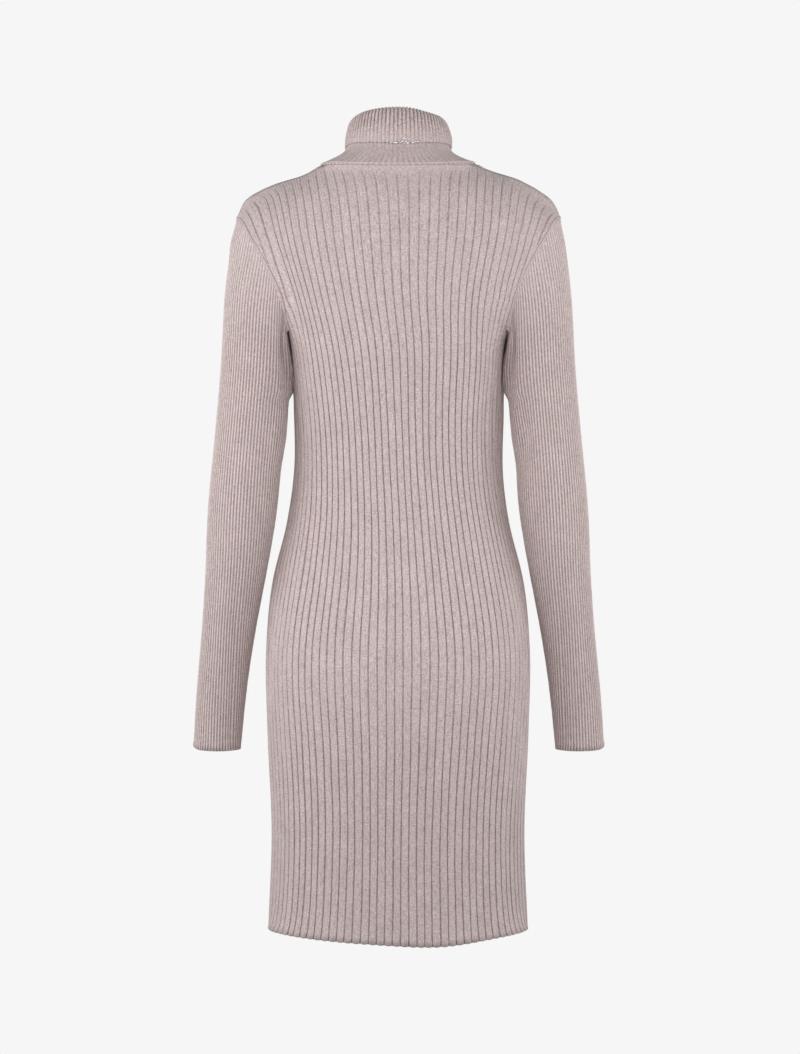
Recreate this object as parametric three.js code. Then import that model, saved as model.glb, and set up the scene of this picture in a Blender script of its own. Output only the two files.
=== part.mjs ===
// Sweater dress in rib knit: wide flat ribs on the body, fine ribs on the sleeves, a fold-over collar.
// Millimetres, +Z up. The front faces -Y, the back +Y, and +X is the wearer's left.
// The origin is at the height of the shoulders, in the middle of the neck.
// Every piece is a thin wall: ribbed points outside, a plain inside, open at neck, cuffs and hem.
import * as THREE from 'three';

// Sizes shared by the pieces
const SEAM_GAP = 0.3;
const TURNED_SEAM_GAP = 0.35; // where a sleeve turns out of the body
const COLLAR_SEAM_GAP = 0.4;
const RIGHT_ANGLE = Math.PI / 2;
const SQUARENESS = 0.92; // exponent of the body's sections: 1 is an ellipse, less is squarer
const ARC_STEPS = 48; // steps that measure the length of a section
const NORMAL_STEP = 0.01; // share of a row each side of a point that gives its direction
const TINY = 1e-6;

// Body: wide ribs between narrow grooves
const BODY = { wall: 2.4, groove: 0.9, grooveHalf: 0.17, insideSteps: 21 };
const NECK_RIBS = 10; // ribs from the neckline's centre to the neck point
const NECK = { halfWidth: 88, sideY: 6, sideZ: 5 };

// Shoulder seam, from the neck point to the shoulder point
const SHOULDER_SEAM = [
  { x: NECK.halfWidth, y: NECK.sideY, z: NECK.sideZ },
  { x: 114, y: 3, z: -9 },
  { x: 142, y: 0, z: -18.5 },
  { x: 165, y: -3, z: -28.5 },
  { x: 178, y: -5, z: -38 },
  { x: 186, y: -8, z: -56 },
];

// Side seams, from the hem up. z: height, x: half width at the seam, y: depth of the seam,
// back and front: depth of the wall at the centre, ribs: ribs from the centre to the edge.
const SIDE_ROWS = [
  { z: -884, x: 150.8, y: 4, back: 88, front: -82, ribs: 21 },
  { z: -770, x: 146.8, y: 6, back: 89, front: -84, ribs: 21 },
  { z: -650, x: 151.5, y: 9, back: 98, front: -86, ribs: 21 },
  { z: -560, x: 153, y: 9, back: 103, front: -90, ribs: 21 },
  { z: -480, x: 146, y: 2, back: 90, front: -94, ribs: 21 },
  { z: -410, x: 129.5, y: -7, back: 75, front: -94, ribs: 21 },
  { z: -350, x: 121.5, y: -11, back: 70, front: -92, ribs: 21 },
  { z: -280, x: 121.8, y: -7, back: 78, front: -99, ribs: 21 },
  { z: -211, x: 124.5, y: 0, back: 91, front: -117, ribs: 21 },
];

// Armholes, going up. z: height, x and y: the wall's edge, centre: depth at the centre,
// turn: degrees that the section turns from the centre to the edge.
const BACK_ARMHOLE = [
  { z: -192, x: 125.5, y: 33, centre: 93, turn: 74, ribs: 19 },
  { z: -160, x: 131, y: 54, centre: 94, turn: 62, ribs: 18 },
  { z: -118, x: 149.5, y: 53, centre: 92, turn: 58, ribs: 18 },
  { z: -84, x: 168, y: 41, centre: 87, turn: 55, ribs: 18 },
];
const FRONT_ARMHOLE = [
  { z: -192, x: 123.5, y: -32, centre: -118, turn: 74, ribs: 19 },
  { z: -160, x: 127, y: -50, centre: -112, turn: 64, ribs: 18 },
  { z: -118, x: 143, y: -50, centre: -100, turn: 60, ribs: 18 },
  { z: -84, x: 163, y: -42, centre: -89, turn: 56, ribs: 18 },
];
// depth and drop: how far the neckline's centre lies from the neck points, level and downwards
const NECK_RIBS_BY_SINE = 0.35; // share of the neckline's rib spacing that widens to the neck point
const NECKLINES = {
  back: { depth: 60, drop: 9 },
  front: { depth: 84, drop: 45 },
};
// Rows from the last armhole row to the top edge, as shares of the way, and the corner of that bend
const OVER_SHOULDER = [1 / 3, 2 / 3, 1];
const SHOULDER_BEND = { x: 0.5, y: 0.2, z: 0.85 };

// Sleeves. z: height, outer and inner: the wall's X away from and next to the body,
// y: depth of the middle, half: half the depth, ribs: ribs from the outer line to the underarm seam.
const SLEEVE = { wall: 2.2, groove: 0.7, insideSteps: 18, capSteps: [0.45] };
const CAP_BEND = { x: 0.84, y: 0.5, z: 0.33 }; // corner of the bend from the armhole to the arm
const SLEEVE_ROWS = [
  { z: -240, outer: 207, inner: 126.6, y: 0, half: 46, ribs: 35 },
  { z: -320, outer: 214, inner: 132.5, y: 3, half: 45.5, ribs: 35 },
  { z: -400, outer: 221.7, inner: 139.5, y: 2, half: 44, ribs: 34 },
  { z: -465, outer: 224.3, inner: 151, y: -4, half: 40, ribs: 32 },
  { z: -530, outer: 229, inner: 164, y: -12, half: 34.5, ribs: 30 },
  { z: -600, outer: 234.8, inner: 175.5, y: -21, half: 31, ribs: 27 },
  { z: -677, outer: 239.4, inner: 184, y: -30, half: 28, ribs: 25 },
];

// Collar, one row for each ring of its folded wall: up the outside from the neckline, round inside
// the flap, over the fold and down the inside. x: half width, back and front: depth,
// zBack, zSide and zFront: heights, ribbed: share of the rib's depth.
const COLLAR = { ribs: 80, groove: 0.6, plainSteps: 36 };
const COLLAR_RINGS = [
  { name: 'base', x: 69, back: 60, front: -73, zBack: 9, zSide: 14.5, zFront: -18, ribbed: 0.6 },
  { name: 'stand', x: 57.5, back: 54, front: -64, zBack: 23, zSide: 27, zFront: 10, ribbed: 0.6 },
  { name: 'stand top', x: 54.4, back: 51.5, front: -62, zBack: 55, zSide: 48, zFront: 38, ribbed: 0 },
  { name: 'flap lining top', x: 55.4, back: 52.5, front: -63, zBack: 55, zSide: 48, zFront: 38, ribbed: 0 },
  { name: 'flap lining', x: 59.5, back: 56.5, front: -67.5, zBack: 21, zSide: 25.4, zFront: 9, ribbed: 0 },
  { name: 'flap edge', x: 61.5, back: 58.5, front: -69.5, zBack: 21, zSide: 25.4, zFront: 9, ribbed: 0.6 },
  { name: 'flap', x: 60.6, back: 58, front: -68.5, zBack: 40, zSide: 39, zFront: 25, ribbed: 1 },
  { name: 'flap top', x: 57.8, back: 55, front: -65.5, zBack: 57, zSide: 50.5, zFront: 40, ribbed: 1 },
  { name: 'fold', x: 54.6, back: 52, front: -62.5, zBack: 61.5, zSide: 54.5, zFront: 44.5, ribbed: 1 },
  { name: 'fold inside', x: 52.4, back: 49.5, front: -60, zBack: 57, zSide: 50.5, zFront: 40, ribbed: 0 },
  { name: 'stand inside', x: 54.5, back: 50, front: -61, zBack: 24, zSide: 28, zFront: 11, ribbed: 0 },
  { name: 'base inside', x: 66.2, back: 57.4, front: -70.4, zBack: 8, zSide: 12.1, zFront: -18, ribbed: 0 },
];

const BODY_COLOUR = new THREE.Color().setRGB(0.725, 0.67, 0.66, THREE.SRGBColorSpace);
const SLEEVE_COLOUR = new THREE.Color().setRGB(0.74, 0.688, 0.68, THREE.SRGBColorSpace);
const COLLAR_COLOUR = new THREE.Color().setRGB(0.72, 0.66, 0.658, THREE.SRGBColorSpace);

const across = (from, to, share) => from + (to - from) * share;
const power = (value, exponent) => Math.max(value, 0) ** exponent;

// A point on the bend from one point to another, with its corner at shares of the way along each axis
function onBend(from, to, corner, climb) {
  const middle = new THREE.Vector3(
    across(from.x, to.x, corner.x),
    across(from.y, to.y, corner.y),
    across(from.z, to.z, corner.z),
  );
  return new THREE.QuadraticBezierCurve3(from, middle, to).getPoint(climb);
}

// Vertices and triangles of one closed wall
class Wall {
  constructor() {
    this.positions = [];
    this.triangles = [];
  }

  // A line of points, each with the key that orders it along the line
  line(points, keys) {
    const first = this.positions.length / 3;
    for (const point of points) this.positions.push(point.x, point.y, point.z);
    return { indices: points.map((_, i) => first + i), keys };
  }

  // The same, closed on itself: the last key comes back to the first point
  ring(points, keys) {
    const line = this.line(points, keys);
    line.indices.push(line.indices[0]);
    return line;
  }

  // Triangles between two lines, going along both in the order of their keys
  strip(a, b) {
    let i = 0;
    let j = 0;
    while (i < a.indices.length - 1 || j < b.indices.length - 1) {
      const nextA = i < a.indices.length - 1 ? a.keys[i + 1] : Infinity;
      const nextB = j < b.indices.length - 1 ? b.keys[j + 1] : Infinity;
      if (nextA <= nextB) {
        this.triangles.push(a.indices[i], a.indices[i + 1], b.indices[j]);
        i += 1;
      } else {
        this.triangles.push(a.indices[i], b.indices[j + 1], b.indices[j]);
        j += 1;
      }
    }
  }

  volume() {
    const corner = (n) => new THREE.Vector3().fromArray(this.positions, 3 * this.triangles[n]);
    let sum = 0;
    for (let n = 0; n < this.triangles.length; n += 3) {
      sum += corner(n).dot(corner(n + 1).cross(corner(n + 2))) / 6;
    }
    return sum;
  }

  mesh(name, colour, mirrored = false) {
    const positions = mirrored ? this.positions.map((v, n) => (n % 3 === 0 ? -v : v)) : this.positions;
    const turned = (this.volume() < 0) !== mirrored;
    const order = turned ? this.triangles.toReversed() : this.triangles;
    const geometry = new THREE.BufferGeometry();
    geometry.setAttribute('position', new THREE.Float32BufferAttribute(positions, 3));
    geometry.setIndex(order);
    geometry.computeVertexNormals();
    const material = new THREE.MeshStandardMaterial({ color: colour, roughness: 0.92, metalness: 0 });
    const mesh = new THREE.Mesh(geometry, material);
    mesh.name = name;
    return mesh;
  }
}

// Points along half a section, from the centre to its edge, at equal steps of length
function evenly(pointAt) {
  const points = Array.from({ length: ARC_STEPS + 1 }, (_, i) => pointAt(i / ARC_STEPS));
  const lengths = [0];
  for (let i = 1; i <= ARC_STEPS; i += 1) {
    lengths.push(lengths[i - 1] + points[i].distanceTo(points[i - 1]));
  }
  return (share) => {
    const wanted = Math.min(Math.abs(share), 1) * lengths[ARC_STEPS];
    const passed = lengths.findIndex((length) => length > wanted);
    const i = passed < 0 ? ARC_STEPS : Math.max(passed, 1);
    const between = (wanted - lengths[i - 1]) / (lengths[i] - lengths[i - 1]);
    const point = points[i - 1].clone().lerp(points[i], between);
    return share < 0 ? point.setX(-point.x) : point;
  };
}

// A body section: a share of a squared ellipse from the centre to the wall's edge
function bodySection({ z, x, y, centre, turn }) {
  const end = THREE.MathUtils.degToRad(turn);
  const wide = power(Math.sin(end), SQUARENESS);
  const deep = 1 - power(Math.cos(end), SQUARENESS);
  return evenly((share) => {
    const angle = end * share;
    const sideways = power(Math.sin(angle), SQUARENESS) / wide;
    const forward = (1 - power(Math.cos(angle), SQUARENESS)) / deep;
    return new THREE.Vector3(x * sideways, across(centre, y, forward), z);
  });
}

// Angle round the neckline of a rib, 0 at the centre and a right angle at the neck point
function neckAngle(rib) {
  const share = rib / NECK_RIBS;
  return across(RIGHT_ANGLE * share, Math.asin(share), NECK_RIBS_BY_SINE);
}

// The neckline's point at an angle from its centre
function necklinePoint({ depth, drop }, facing, angle) {
  const x = NECK.halfWidth * Math.sin(angle);
  const y = NECK.sideY + facing * (SEAM_GAP / 2 + depth * Math.cos(angle));
  return new THREE.Vector3(x, y, NECK.sideZ - drop * power(Math.cos(angle), 1.5));
}

const seamPoints = SHOULDER_SEAM.map(({ x, y, z }) => new THREE.Vector3(x, y, z));
const shoulderSeam = new THREE.CatmullRomCurve3(seamPoints);

// Direction out of the cloth on the shoulder seam, at a share of its length from the neck point
function shoulderNormal(along, side) {
  const tangent = shoulderSeam.getTangentAt(along);
  return new THREE.Vector3(-tangent.z * side, 0, tangent.x).normalize();
}

// The top edge of a panel: the neckline, then the shoulder seam
function topEdge(neckline, facing, ribs) {
  return (share) => {
    const rib = Math.abs(share) * ribs;
    let point;
    if (rib <= NECK_RIBS) {
      point = necklinePoint(neckline, facing, neckAngle(rib));
    } else {
      point = shoulderSeam.getPointAt((rib - NECK_RIBS) / (ribs - NECK_RIBS));
      point.y += (facing * SEAM_GAP) / 2;
    }
    return share < 0 ? point.setX(-point.x) : point;
  };
}

// All rows of a panel from hem to top: a function of the share across, and the ribs of the row
function panelRows(facing) {
  const isBack = facing > 0;
  const seamRows = SIDE_ROWS.map((row) => ({
    ...row,
    y: row.y + (facing * SEAM_GAP) / 2,
    centre: isBack ? row.back : row.front,
    turn: 90,
  }));
  const armholeRows = isBack ? BACK_ARMHOLE : FRONT_ARMHOLE;
  const rows = [...seamRows, ...armholeRows].map((row) => ({ ...row, at: bodySection(row), relief: 1 }));
  const last = rows.at(-1);
  const top = topEdge(isBack ? NECKLINES.back : NECKLINES.front, facing, last.ribs);
  for (const climb of OVER_SHOULDER) {
    const isTop = climb === 1;
    const at = (share) => onBend(last.at(share), top(share), SHOULDER_BEND, climb);
    rows.push({ ribs: last.ribs, at, relief: isTop ? 0 : 1 - climb / 2, isTop });
  }
  return rows;
}

// Direction out of the wall at a share across a row
function rowNormal(rows, index, share, facing) {
  const row = rows[index];
  if (row.turn === 90 && Math.abs(share) === 1) return new THREE.Vector3(Math.sign(share), 0, 0);
  const rib = Math.abs(share) * row.ribs;
  if (row.isTop && rib >= NECK_RIBS) {
    return shoulderNormal((rib - NECK_RIBS) / (row.ribs - NECK_RIBS), Math.sign(share));
  }
  const sideways = row.at(Math.min(share + NORMAL_STEP, 1)).sub(row.at(Math.max(share - NORMAL_STEP, -1)));
  const above = rows[Math.min(index + 1, rows.length - 1)].at(share);
  const below = rows[Math.max(index - 1, 0)].at(share);
  const normal = above.sub(below).cross(sideways).multiplyScalar(facing).normalize();
  if (!row.isTop) return normal;
  return normal.lerp(shoulderNormal(0, Math.sign(share)), Math.sin(neckAngle(rib)) ** 4).normalize();
}

// Rib positions across a body row: the two shoulders and the floor of each groove
function bodyRibs(ribs) {
  const marks = [{ at: -ribs, depth: 0 }];
  for (let rib = 1 - ribs; rib < ribs; rib += 1) {
    marks.push({ at: rib - BODY.grooveHalf, depth: 0 });
    marks.push({ at: rib, depth: 1 });
    marks.push({ at: rib + BODY.grooveHalf, depth: 0 });
  }
  marks.push({ at: ribs, depth: 0 });
  return marks;
}

// Shares across a row at each of its ribs
function ribShares(ribs) {
  return Array.from({ length: 2 * ribs + 1 }, (_, i) => i / ribs - 1);
}

// One body panel. facing is 1 for the back and -1 for the front.
function buildPanel(name, facing) {
  const wall = new Wall();
  const rows = panelRows(facing);
  const shares = Array.from({ length: BODY.insideSteps + 1 }, (_, i) => (2 * i) / BODY.insideSteps - 1);
  const outside = [];
  const inside = [];
  const edge = [];
  const neckEdge = {};
  rows.forEach((row, index) => {
    const marks = bodyRibs(row.ribs);
    const points = marks.map(({ at, depth }) => {
      const share = at / row.ribs;
      const sink = BODY.groove * depth * row.relief;
      return row.at(share).addScaledVector(rowNormal(rows, index, share, facing), -sink);
    });
    const innerShares = row.isTop ? ribShares(row.ribs) : shares;
    const inner = innerShares.map((share) => {
      return row.at(share).addScaledVector(rowNormal(rows, index, share, facing), -BODY.wall);
    });
    outside.push(wall.line(points, marks.map((mark) => mark.at)));
    inside.push(wall.line(inner, innerShares));
    edge.push({ point: points.at(-1), normal: rowNormal(rows, index, 1, facing) });
    if (row.isTop) {
      const neckPoints = (shareList, list) => shareList.flatMap((share, i) => {
        const rib = share * row.ribs;
        if (Math.abs(rib) > NECK_RIBS + TINY) return [];
        const angle = Math.sign(rib) * neckAngle(Math.min(Math.abs(rib), NECK_RIBS));
        return [{ angle, point: list[i], normal: rowNormal(rows, index, share, facing) }];
      });
      neckEdge.outer = neckPoints(marks.map((mark) => mark.at / row.ribs), points);
      neckEdge.inner = neckPoints(innerShares, inner);
    }
  });
  for (let k = 0; k + 1 < rows.length; k += 1) {
    wall.strip(outside[k], outside[k + 1]);
    wall.strip(inside[k + 1], inside[k]);
  }
  const shared = (line, ribs) => ({ indices: line.indices, keys: line.keys.map((key) => key / ribs) });
  wall.strip(inside[0], shared(outside[0], rows[0].ribs));
  wall.strip(shared(outside.at(-1), rows.at(-1).ribs), inside.at(-1));
  const column = (lines, end) => ({
    indices: lines.map((line) => line.indices.at(end)),
    keys: lines.map((_, k) => k),
  });
  wall.strip(column(outside, 0), column(inside, 0));
  wall.strip(column(inside, -1), column(outside, -1));
  return { mesh: wall.mesh(name, BODY_COLOUR), edge: edge.slice(SIDE_ROWS.length - 1), neckEdge };
}

// Half of an armhole, from the shoulder point to the underarm point. Each point has the panel's
// direction out of the cloth (normal) and the direction that leaves the panel's edge (away).
function halfArmhole(edge, otherEdge) {
  const fromTop = edge.toReversed();
  const otherFromTop = otherEdge.toReversed();
  const ends = [0, fromTop.length - 1];
  const points = fromTop.map(({ point, normal }, i) => {
    const other = otherFromTop[i];
    const shared = ends.includes(i);
    return {
      point: shared ? point.clone().lerp(other.point, 0.5) : point.clone(),
      normal: shared ? normal.clone().add(other.normal).normalize() : normal.clone(),
    };
  });
  const lengths = [0];
  points.forEach((entry, i) => {
    if (i > 0) lengths.push(lengths[i - 1] + entry.point.distanceTo(points[i - 1].point));
    const before = points[Math.max(i - 1, 0)].point;
    const after = points[Math.min(i + 1, points.length - 1)].point;
    const along = after.clone().sub(before).normalize();
    entry.away = along.cross(entry.normal).normalize();
    if (entry.away.x + entry.away.z * (i / points.length) < 0) entry.away.negate();
  });
  points.at(-1).away.set(0, 0, 1);
  return (share) => {
    const wanted = share * lengths.at(-1);
    const i = Math.max(1, lengths.findIndex((length) => length >= wanted - TINY));
    const between = (wanted - lengths[i - 1]) / (lengths[i] - lengths[i - 1]);
    const mix = (key) => points[i - 1][key].clone().lerp(points[i][key], between);
    return { point: mix('point'), normal: mix('normal').normalize(), away: mix('away').normalize() };
  };
}

// The sleeve's ring of a table row, at a share round it: 0 on the outer line, 1 at the underarm
function sleeveRing(row, share) {
  const angle = Math.PI * share;
  const middle = (row.outer + row.inner) / 2;
  const wide = (row.outer - row.inner) / 2;
  return new THREE.Vector3(middle + wide * Math.cos(angle), row.y + row.half * Math.sin(angle), row.z);
}

// A sleeve on the wearer's left, from its armhole to its cuff
function buildSleeve(name, back, front, mirrored) {
  const wall = new Wall();
  const halves = { back: halfArmhole(back, front), front: halfArmhole(front, back) };
  const armhole = (share) => (share >= 0 ? halves.back : halves.front)(Math.abs(share));

  // How the sleeve leaves the panel: straight on at the shoulder, turned out of it underneath
  const start = (share) => {
    const { point, normal, away } = armhole(share);
    const target = sleeveRing(SLEEVE_ROWS[0], share).sub(point);
    const turn = THREE.MathUtils.clamp(Math.atan2(target.dot(normal), target.dot(away)), 0, RIGHT_ANGLE);
    const leave = away.clone().multiplyScalar(Math.cos(turn)).addScaledVector(normal, Math.sin(turn));
    const out = normal.clone().multiplyScalar(Math.cos(turn)).addScaledVector(away, -Math.sin(turn));
    return { point: point.addScaledVector(leave, TURNED_SEAM_GAP), out };
  };
  const cap = (share, climb) => {
    return onBend(start(share).point, sleeveRing(SLEEVE_ROWS[0], share), CAP_BEND, climb);
  };
  const topRibs = SLEEVE_ROWS[0].ribs;
  const rows = [
    { ribs: topRibs, at: (share) => start(share).point, relief: 0 },
    ...SLEEVE.capSteps.map((climb) => ({ ribs: topRibs, at: (share) => cap(share, climb), relief: 1 })),
    ...SLEEVE_ROWS.map((row) => ({ ribs: row.ribs, at: (share) => sleeveRing(row, share), relief: 1 })),
  ];
  const normalAt = (index, share) => {
    if (index === 0) return start(share).out;
    const round = (s) => (s > 1 ? s - 2 : s < -1 ? s + 2 : s);
    const next = rows[index].at(round(share + NORMAL_STEP));
    const sideways = next.sub(rows[index].at(round(share - NORMAL_STEP)));
    const above = rows[index - 1].at(share);
    const below = rows[Math.min(index + 1, rows.length - 1)].at(share);
    return above.sub(below).cross(sideways).negate().normalize();
  };
  const lines = rows.map((row, index) => {
    const halfRibs = Array.from({ length: 4 * row.ribs }, (_, i) => i);
    const marks = halfRibs.map((i) => ({ at: i / 2 - row.ribs, depth: 1 - (i % 2) }));
    const outer = marks.map(({ at, depth }) => {
      const share = at / row.ribs;
      return row.at(share).addScaledVector(normalAt(index, share), -SLEEVE.groove * depth * row.relief);
    });
    const shares = Array.from({ length: SLEEVE.insideSteps }, (_, i) => (2 * i) / SLEEVE.insideSteps - 1);
    const inner = shares.map((share) => {
      return row.at(share).addScaledVector(normalAt(index, share), -SLEEVE.wall);
    });
    return {
      outside: wall.ring(outer, [...marks.map((mark) => mark.at), row.ribs]),
      inside: wall.ring(inner, [...shares, 1]),
      shared: [...marks.map((mark) => mark.at / row.ribs), 1],
    };
  });
  for (let k = 0; k + 1 < rows.length; k += 1) {
    wall.strip(lines[k].outside, lines[k + 1].outside);
    wall.strip(lines[k + 1].inside, lines[k].inside);
  }
  const shared = (line) => ({ indices: line.outside.indices, keys: line.shared });
  wall.strip(lines[0].inside, shared(lines[0]));
  wall.strip(shared(lines.at(-1)), lines.at(-1).inside);
  return wall.mesh(name, SLEEVE_COLOUR, mirrored);
}

// A collar ring's point at an angle from the centre back
function collarPoint(ring, angle) {
  const turn = Math.cos(angle);
  const middle = (ring.back + ring.front) / 2;
  const level = (ring.zBack + ring.zFront) / 2 - ring.zSide;
  const z = ring.zSide + ((ring.zBack - ring.zFront) / 2) * turn + level * turn * turn;
  return new THREE.Vector3(ring.x * Math.sin(angle), middle + ((ring.back - ring.front) / 2) * turn, z);
}

// The collar, linked to the necklines of both panels
function buildCollar(name, back, front) {
  const wall = new Wall();
  const start = (side) => {
    const onward = front[side].slice(1, -1).toReversed();
    const round = [...back[side], ...onward.map((entry) => ({ ...entry, angle: Math.PI - entry.angle }))];
    const lifted = round.map(({ point, normal }, i) => {
      const along = round[(i + 1) % round.length].point.clone().sub(round.at(i - 1).point);
      return point.clone().addScaledVector(along.cross(normal).normalize(), COLLAR_SEAM_GAP);
    });
    return wall.ring(lifted, [...round.map((entry) => entry.angle), round[0].angle + 2 * Math.PI]);
  };
  const startOuter = start('outer');
  const startInner = start('inner');
  const rings = COLLAR_RINGS.map((ring) => {
    const steps = ring.ribbed > 0 ? 2 * COLLAR.ribs : COLLAR.plainSteps;
    const angles = Array.from({ length: steps + 1 }, (_, i) => (2 * Math.PI * i) / steps - RIGHT_ANGLE);
    const points = angles.slice(0, -1).map((angle, i) => {
      const point = collarPoint(ring, angle);
      const out = new THREE.Vector3(Math.sin(angle), Math.cos(angle), 0);
      const sink = ring.ribbed > 0 && i % 2 === 0 ? COLLAR.groove * ring.ribbed : 0;
      return point.addScaledVector(out, -sink);
    });
    return wall.ring(points, angles);
  });
  const lines = [startInner, ...rings.toReversed(), startOuter];
  lines.forEach((line, i) => wall.strip(line, lines[(i + 1) % lines.length]));
  return wall.mesh(name, COLLAR_COLOUR);
}

const back = buildPanel('back_panel', 1);
const front = buildPanel('front_panel', -1);
const dress = new THREE.Group();
dress.add(
  back.mesh,
  front.mesh,
  buildSleeve('sleeve_left', back.edge, front.edge, false),
  buildSleeve('sleeve_right', back.edge, front.edge, true),
  buildCollar('collar', back.neckEdge, front.neckEdge),
);

export default dress;
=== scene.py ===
"""Rib-knit sweater dress with a fold-over collar, seen from the back, dressed around its solids.

The cloth is a thin shell on the form of the solids: two panels in wide flat ribs, two fine-rib
sleeves and a rib collar that folds over. Every size is in metres.
"""

import logging
import math
from dataclasses import dataclass, field
from enum import Enum
from typing import Any, Iterable, Optional, Union

import bmesh
import bpy
import numpy as np
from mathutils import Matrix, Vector


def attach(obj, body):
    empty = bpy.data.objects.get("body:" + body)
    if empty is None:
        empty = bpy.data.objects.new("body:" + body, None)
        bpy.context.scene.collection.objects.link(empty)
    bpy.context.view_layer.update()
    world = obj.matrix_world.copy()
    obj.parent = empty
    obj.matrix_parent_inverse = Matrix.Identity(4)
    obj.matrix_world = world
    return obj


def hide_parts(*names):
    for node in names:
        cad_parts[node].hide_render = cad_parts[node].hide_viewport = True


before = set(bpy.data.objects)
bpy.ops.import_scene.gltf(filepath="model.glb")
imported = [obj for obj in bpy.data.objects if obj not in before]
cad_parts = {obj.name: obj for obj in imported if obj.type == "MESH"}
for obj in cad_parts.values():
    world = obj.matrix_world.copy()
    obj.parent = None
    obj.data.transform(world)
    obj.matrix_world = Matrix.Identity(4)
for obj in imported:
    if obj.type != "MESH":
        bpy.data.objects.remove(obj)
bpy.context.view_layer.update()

LOG = logging.getLogger("dress")
KNIT_MAP = "knit"
# Point attribute that scales the ribs' relief and the painted shade in their grooves.
RELIEF = "relief"
Colour = tuple[float, float, float, float]

SQUARENESS = 0.92
MEASURING_STEPS = 400
HALF_SEAM = 0.00015
EDGE_RIBS = 21
KEPT_RIBS = 13
NECK_RIBS_BY_SINE = 0.35
NECK_HALF_WIDTH = 0.088
NECK_SIDE_DEPTH = 0.006
NECK_SIDE_HEIGHT = 0.0036
SHOULDER_BEND = (0.5, 0.2, 0.85)
OVER_SHOULDER = (1 / 3, 2 / 3, 1.0)
SLEEVE_RIBS = 35
SLEEVE_KEPT_RIBS = 18
CAP_BEND = (0.84, 0.5, 0.33)
UNDERARM_BEND = (0.25, 0.5, 0.6)
CAP_CLIMB = 0.45
TURNED_SEAM_GAP = 0.00035
CREASE_TURN = 1.6
DRESS_MIDDLE = (0, 0, -0.3)
COLLAR_RIBS = 40


class Side(Enum):
    """The side of the body that a panel covers; its value is the sign of the depth axis."""

    BACK = 1
    FRONT = -1


class Arm(Enum):
    """The wearer's arm that a sleeve holds; its value is the sign of the width axis."""

    LEFT = 1
    RIGHT = -1


@dataclass(frozen=True)
class SideLevel:
    """A level of the body below the armholes.

    Attributes:
        z: Height.
        x: Half width at the side seams.
        y: Depth of the side seams.
        back: Depth of the centre back.
        front: Depth of the centre front.
    """

    z: float
    x: float
    y: float
    back: float
    front: float


@dataclass(frozen=True)
class Level:
    """A level of one panel.

    Attributes:
        z: Height.
        x: Half width at the panel's edge.
        y: Depth of the panel's edge.
        centre: Depth of the panel's middle.
        turn: Degrees that the section turns from the middle to the edge.
    """

    z: float
    x: float
    y: float
    centre: float
    turn: float = 90.0


@dataclass(frozen=True)
class RibRow:
    """How a panel's ribs lie across it at one height.

    Attributes:
        z: Height.
        left: Ribs from the middle rib to the edge at the wearer's left.
        right: Ribs from the middle rib to the edge at the wearer's right.
        spread: How much wider the ribs are in the middle than they are on average.
    """

    z: float
    left: float
    right: float
    spread: float = 0.0


@dataclass(frozen=True)
class Neckline:
    """How far a neckline's middle lies from the neck points, level and downwards."""

    depth: float
    drop: float


@dataclass(frozen=True)
class SleeveRing:
    """A level of a sleeve.

    Attributes:
        z: Height.
        outer: Width place of the outer line.
        inner: Width place of the underarm line.
        y: Depth of the middle.
        half: Half of the ring's depth.
        ribs: Ribs on each side of the outer line.
    """

    z: float
    outer: float
    inner: float
    y: float
    half: float
    ribs: float


@dataclass(frozen=True)
class CollarRing:
    """A ring of the collar's cloth.

    Attributes:
        x: Half width.
        back: Depth of the centre back.
        front: Depth of the centre front.
        z_back: Height at the centre back.
        z_side: Height at the sides.
        z_front: Height at the centre front.
        relief: How strongly the ribs stand out, which also sets how dark their grooves are painted, a
            painted shade; below zero they stand out on the other face.
    """

    x: float
    back: float
    front: float
    z_back: float
    z_side: float
    z_front: float
    relief: float


@dataclass(frozen=True)
class Crease:
    """A soft upright trough in the cloth.

    Attributes:
        side: The side of the body that it is on.
        x: Width place of its middle.
        z: Height of its middle.
        length: Half of its length.
        width: Half of its width.
        depth: Depth at its middle.
    """

    side: Side
    x: float
    z: float
    length: float
    width: float
    depth: float


@dataclass(frozen=True)
class Shift:
    """A place where the dress isn't even: the cloth there moves a little, and less further off.

    Attributes:
        x: Width place of its middle.
        z: Height of its middle.
        width: Half of its width.
        height: Half of its height.
        dx: Move across.
        dz: Move up.
    """

    x: float
    z: float
    width: float
    height: float
    dx: float
    dz: float


SIDE_LEVELS = (
    SideLevel(-0.884, 0.1508, 0.004, 0.081, -0.082),
    SideLevel(-0.770, 0.1468, 0.006, 0.085, -0.084),
    SideLevel(-0.650, 0.1515, 0.009, 0.098, -0.086),
    SideLevel(-0.560, 0.1530, 0.009, 0.105, -0.090),
    SideLevel(-0.480, 0.1460, 0.002, 0.090, -0.094),
    SideLevel(-0.410, 0.1295, -0.007, 0.075, -0.094),
    SideLevel(-0.350, 0.1215, -0.011, 0.070, -0.092),
    SideLevel(-0.280, 0.1218, -0.007, 0.078, -0.099),
    SideLevel(-0.211, 0.1265, 0.000, 0.091, -0.117),
)
ARMHOLE_LEVELS = {
    Side.BACK: (
        Level(-0.192, 0.1280, 0.033, 0.093, 74),
        Level(-0.160, 0.1310, 0.054, 0.094, 62),
        Level(-0.118, 0.1495, 0.053, 0.092, 58),
        Level(-0.084, 0.1680, 0.041, 0.087, 55),
    ),
    Side.FRONT: (
        Level(-0.192, 0.1255, -0.032, -0.118, 74),
        Level(-0.160, 0.1270, -0.050, -0.112, 64),
        Level(-0.118, 0.1430, -0.050, -0.100, 60),
        Level(-0.084, 0.1630, -0.042, -0.089, 56),
    ),
}
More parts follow.
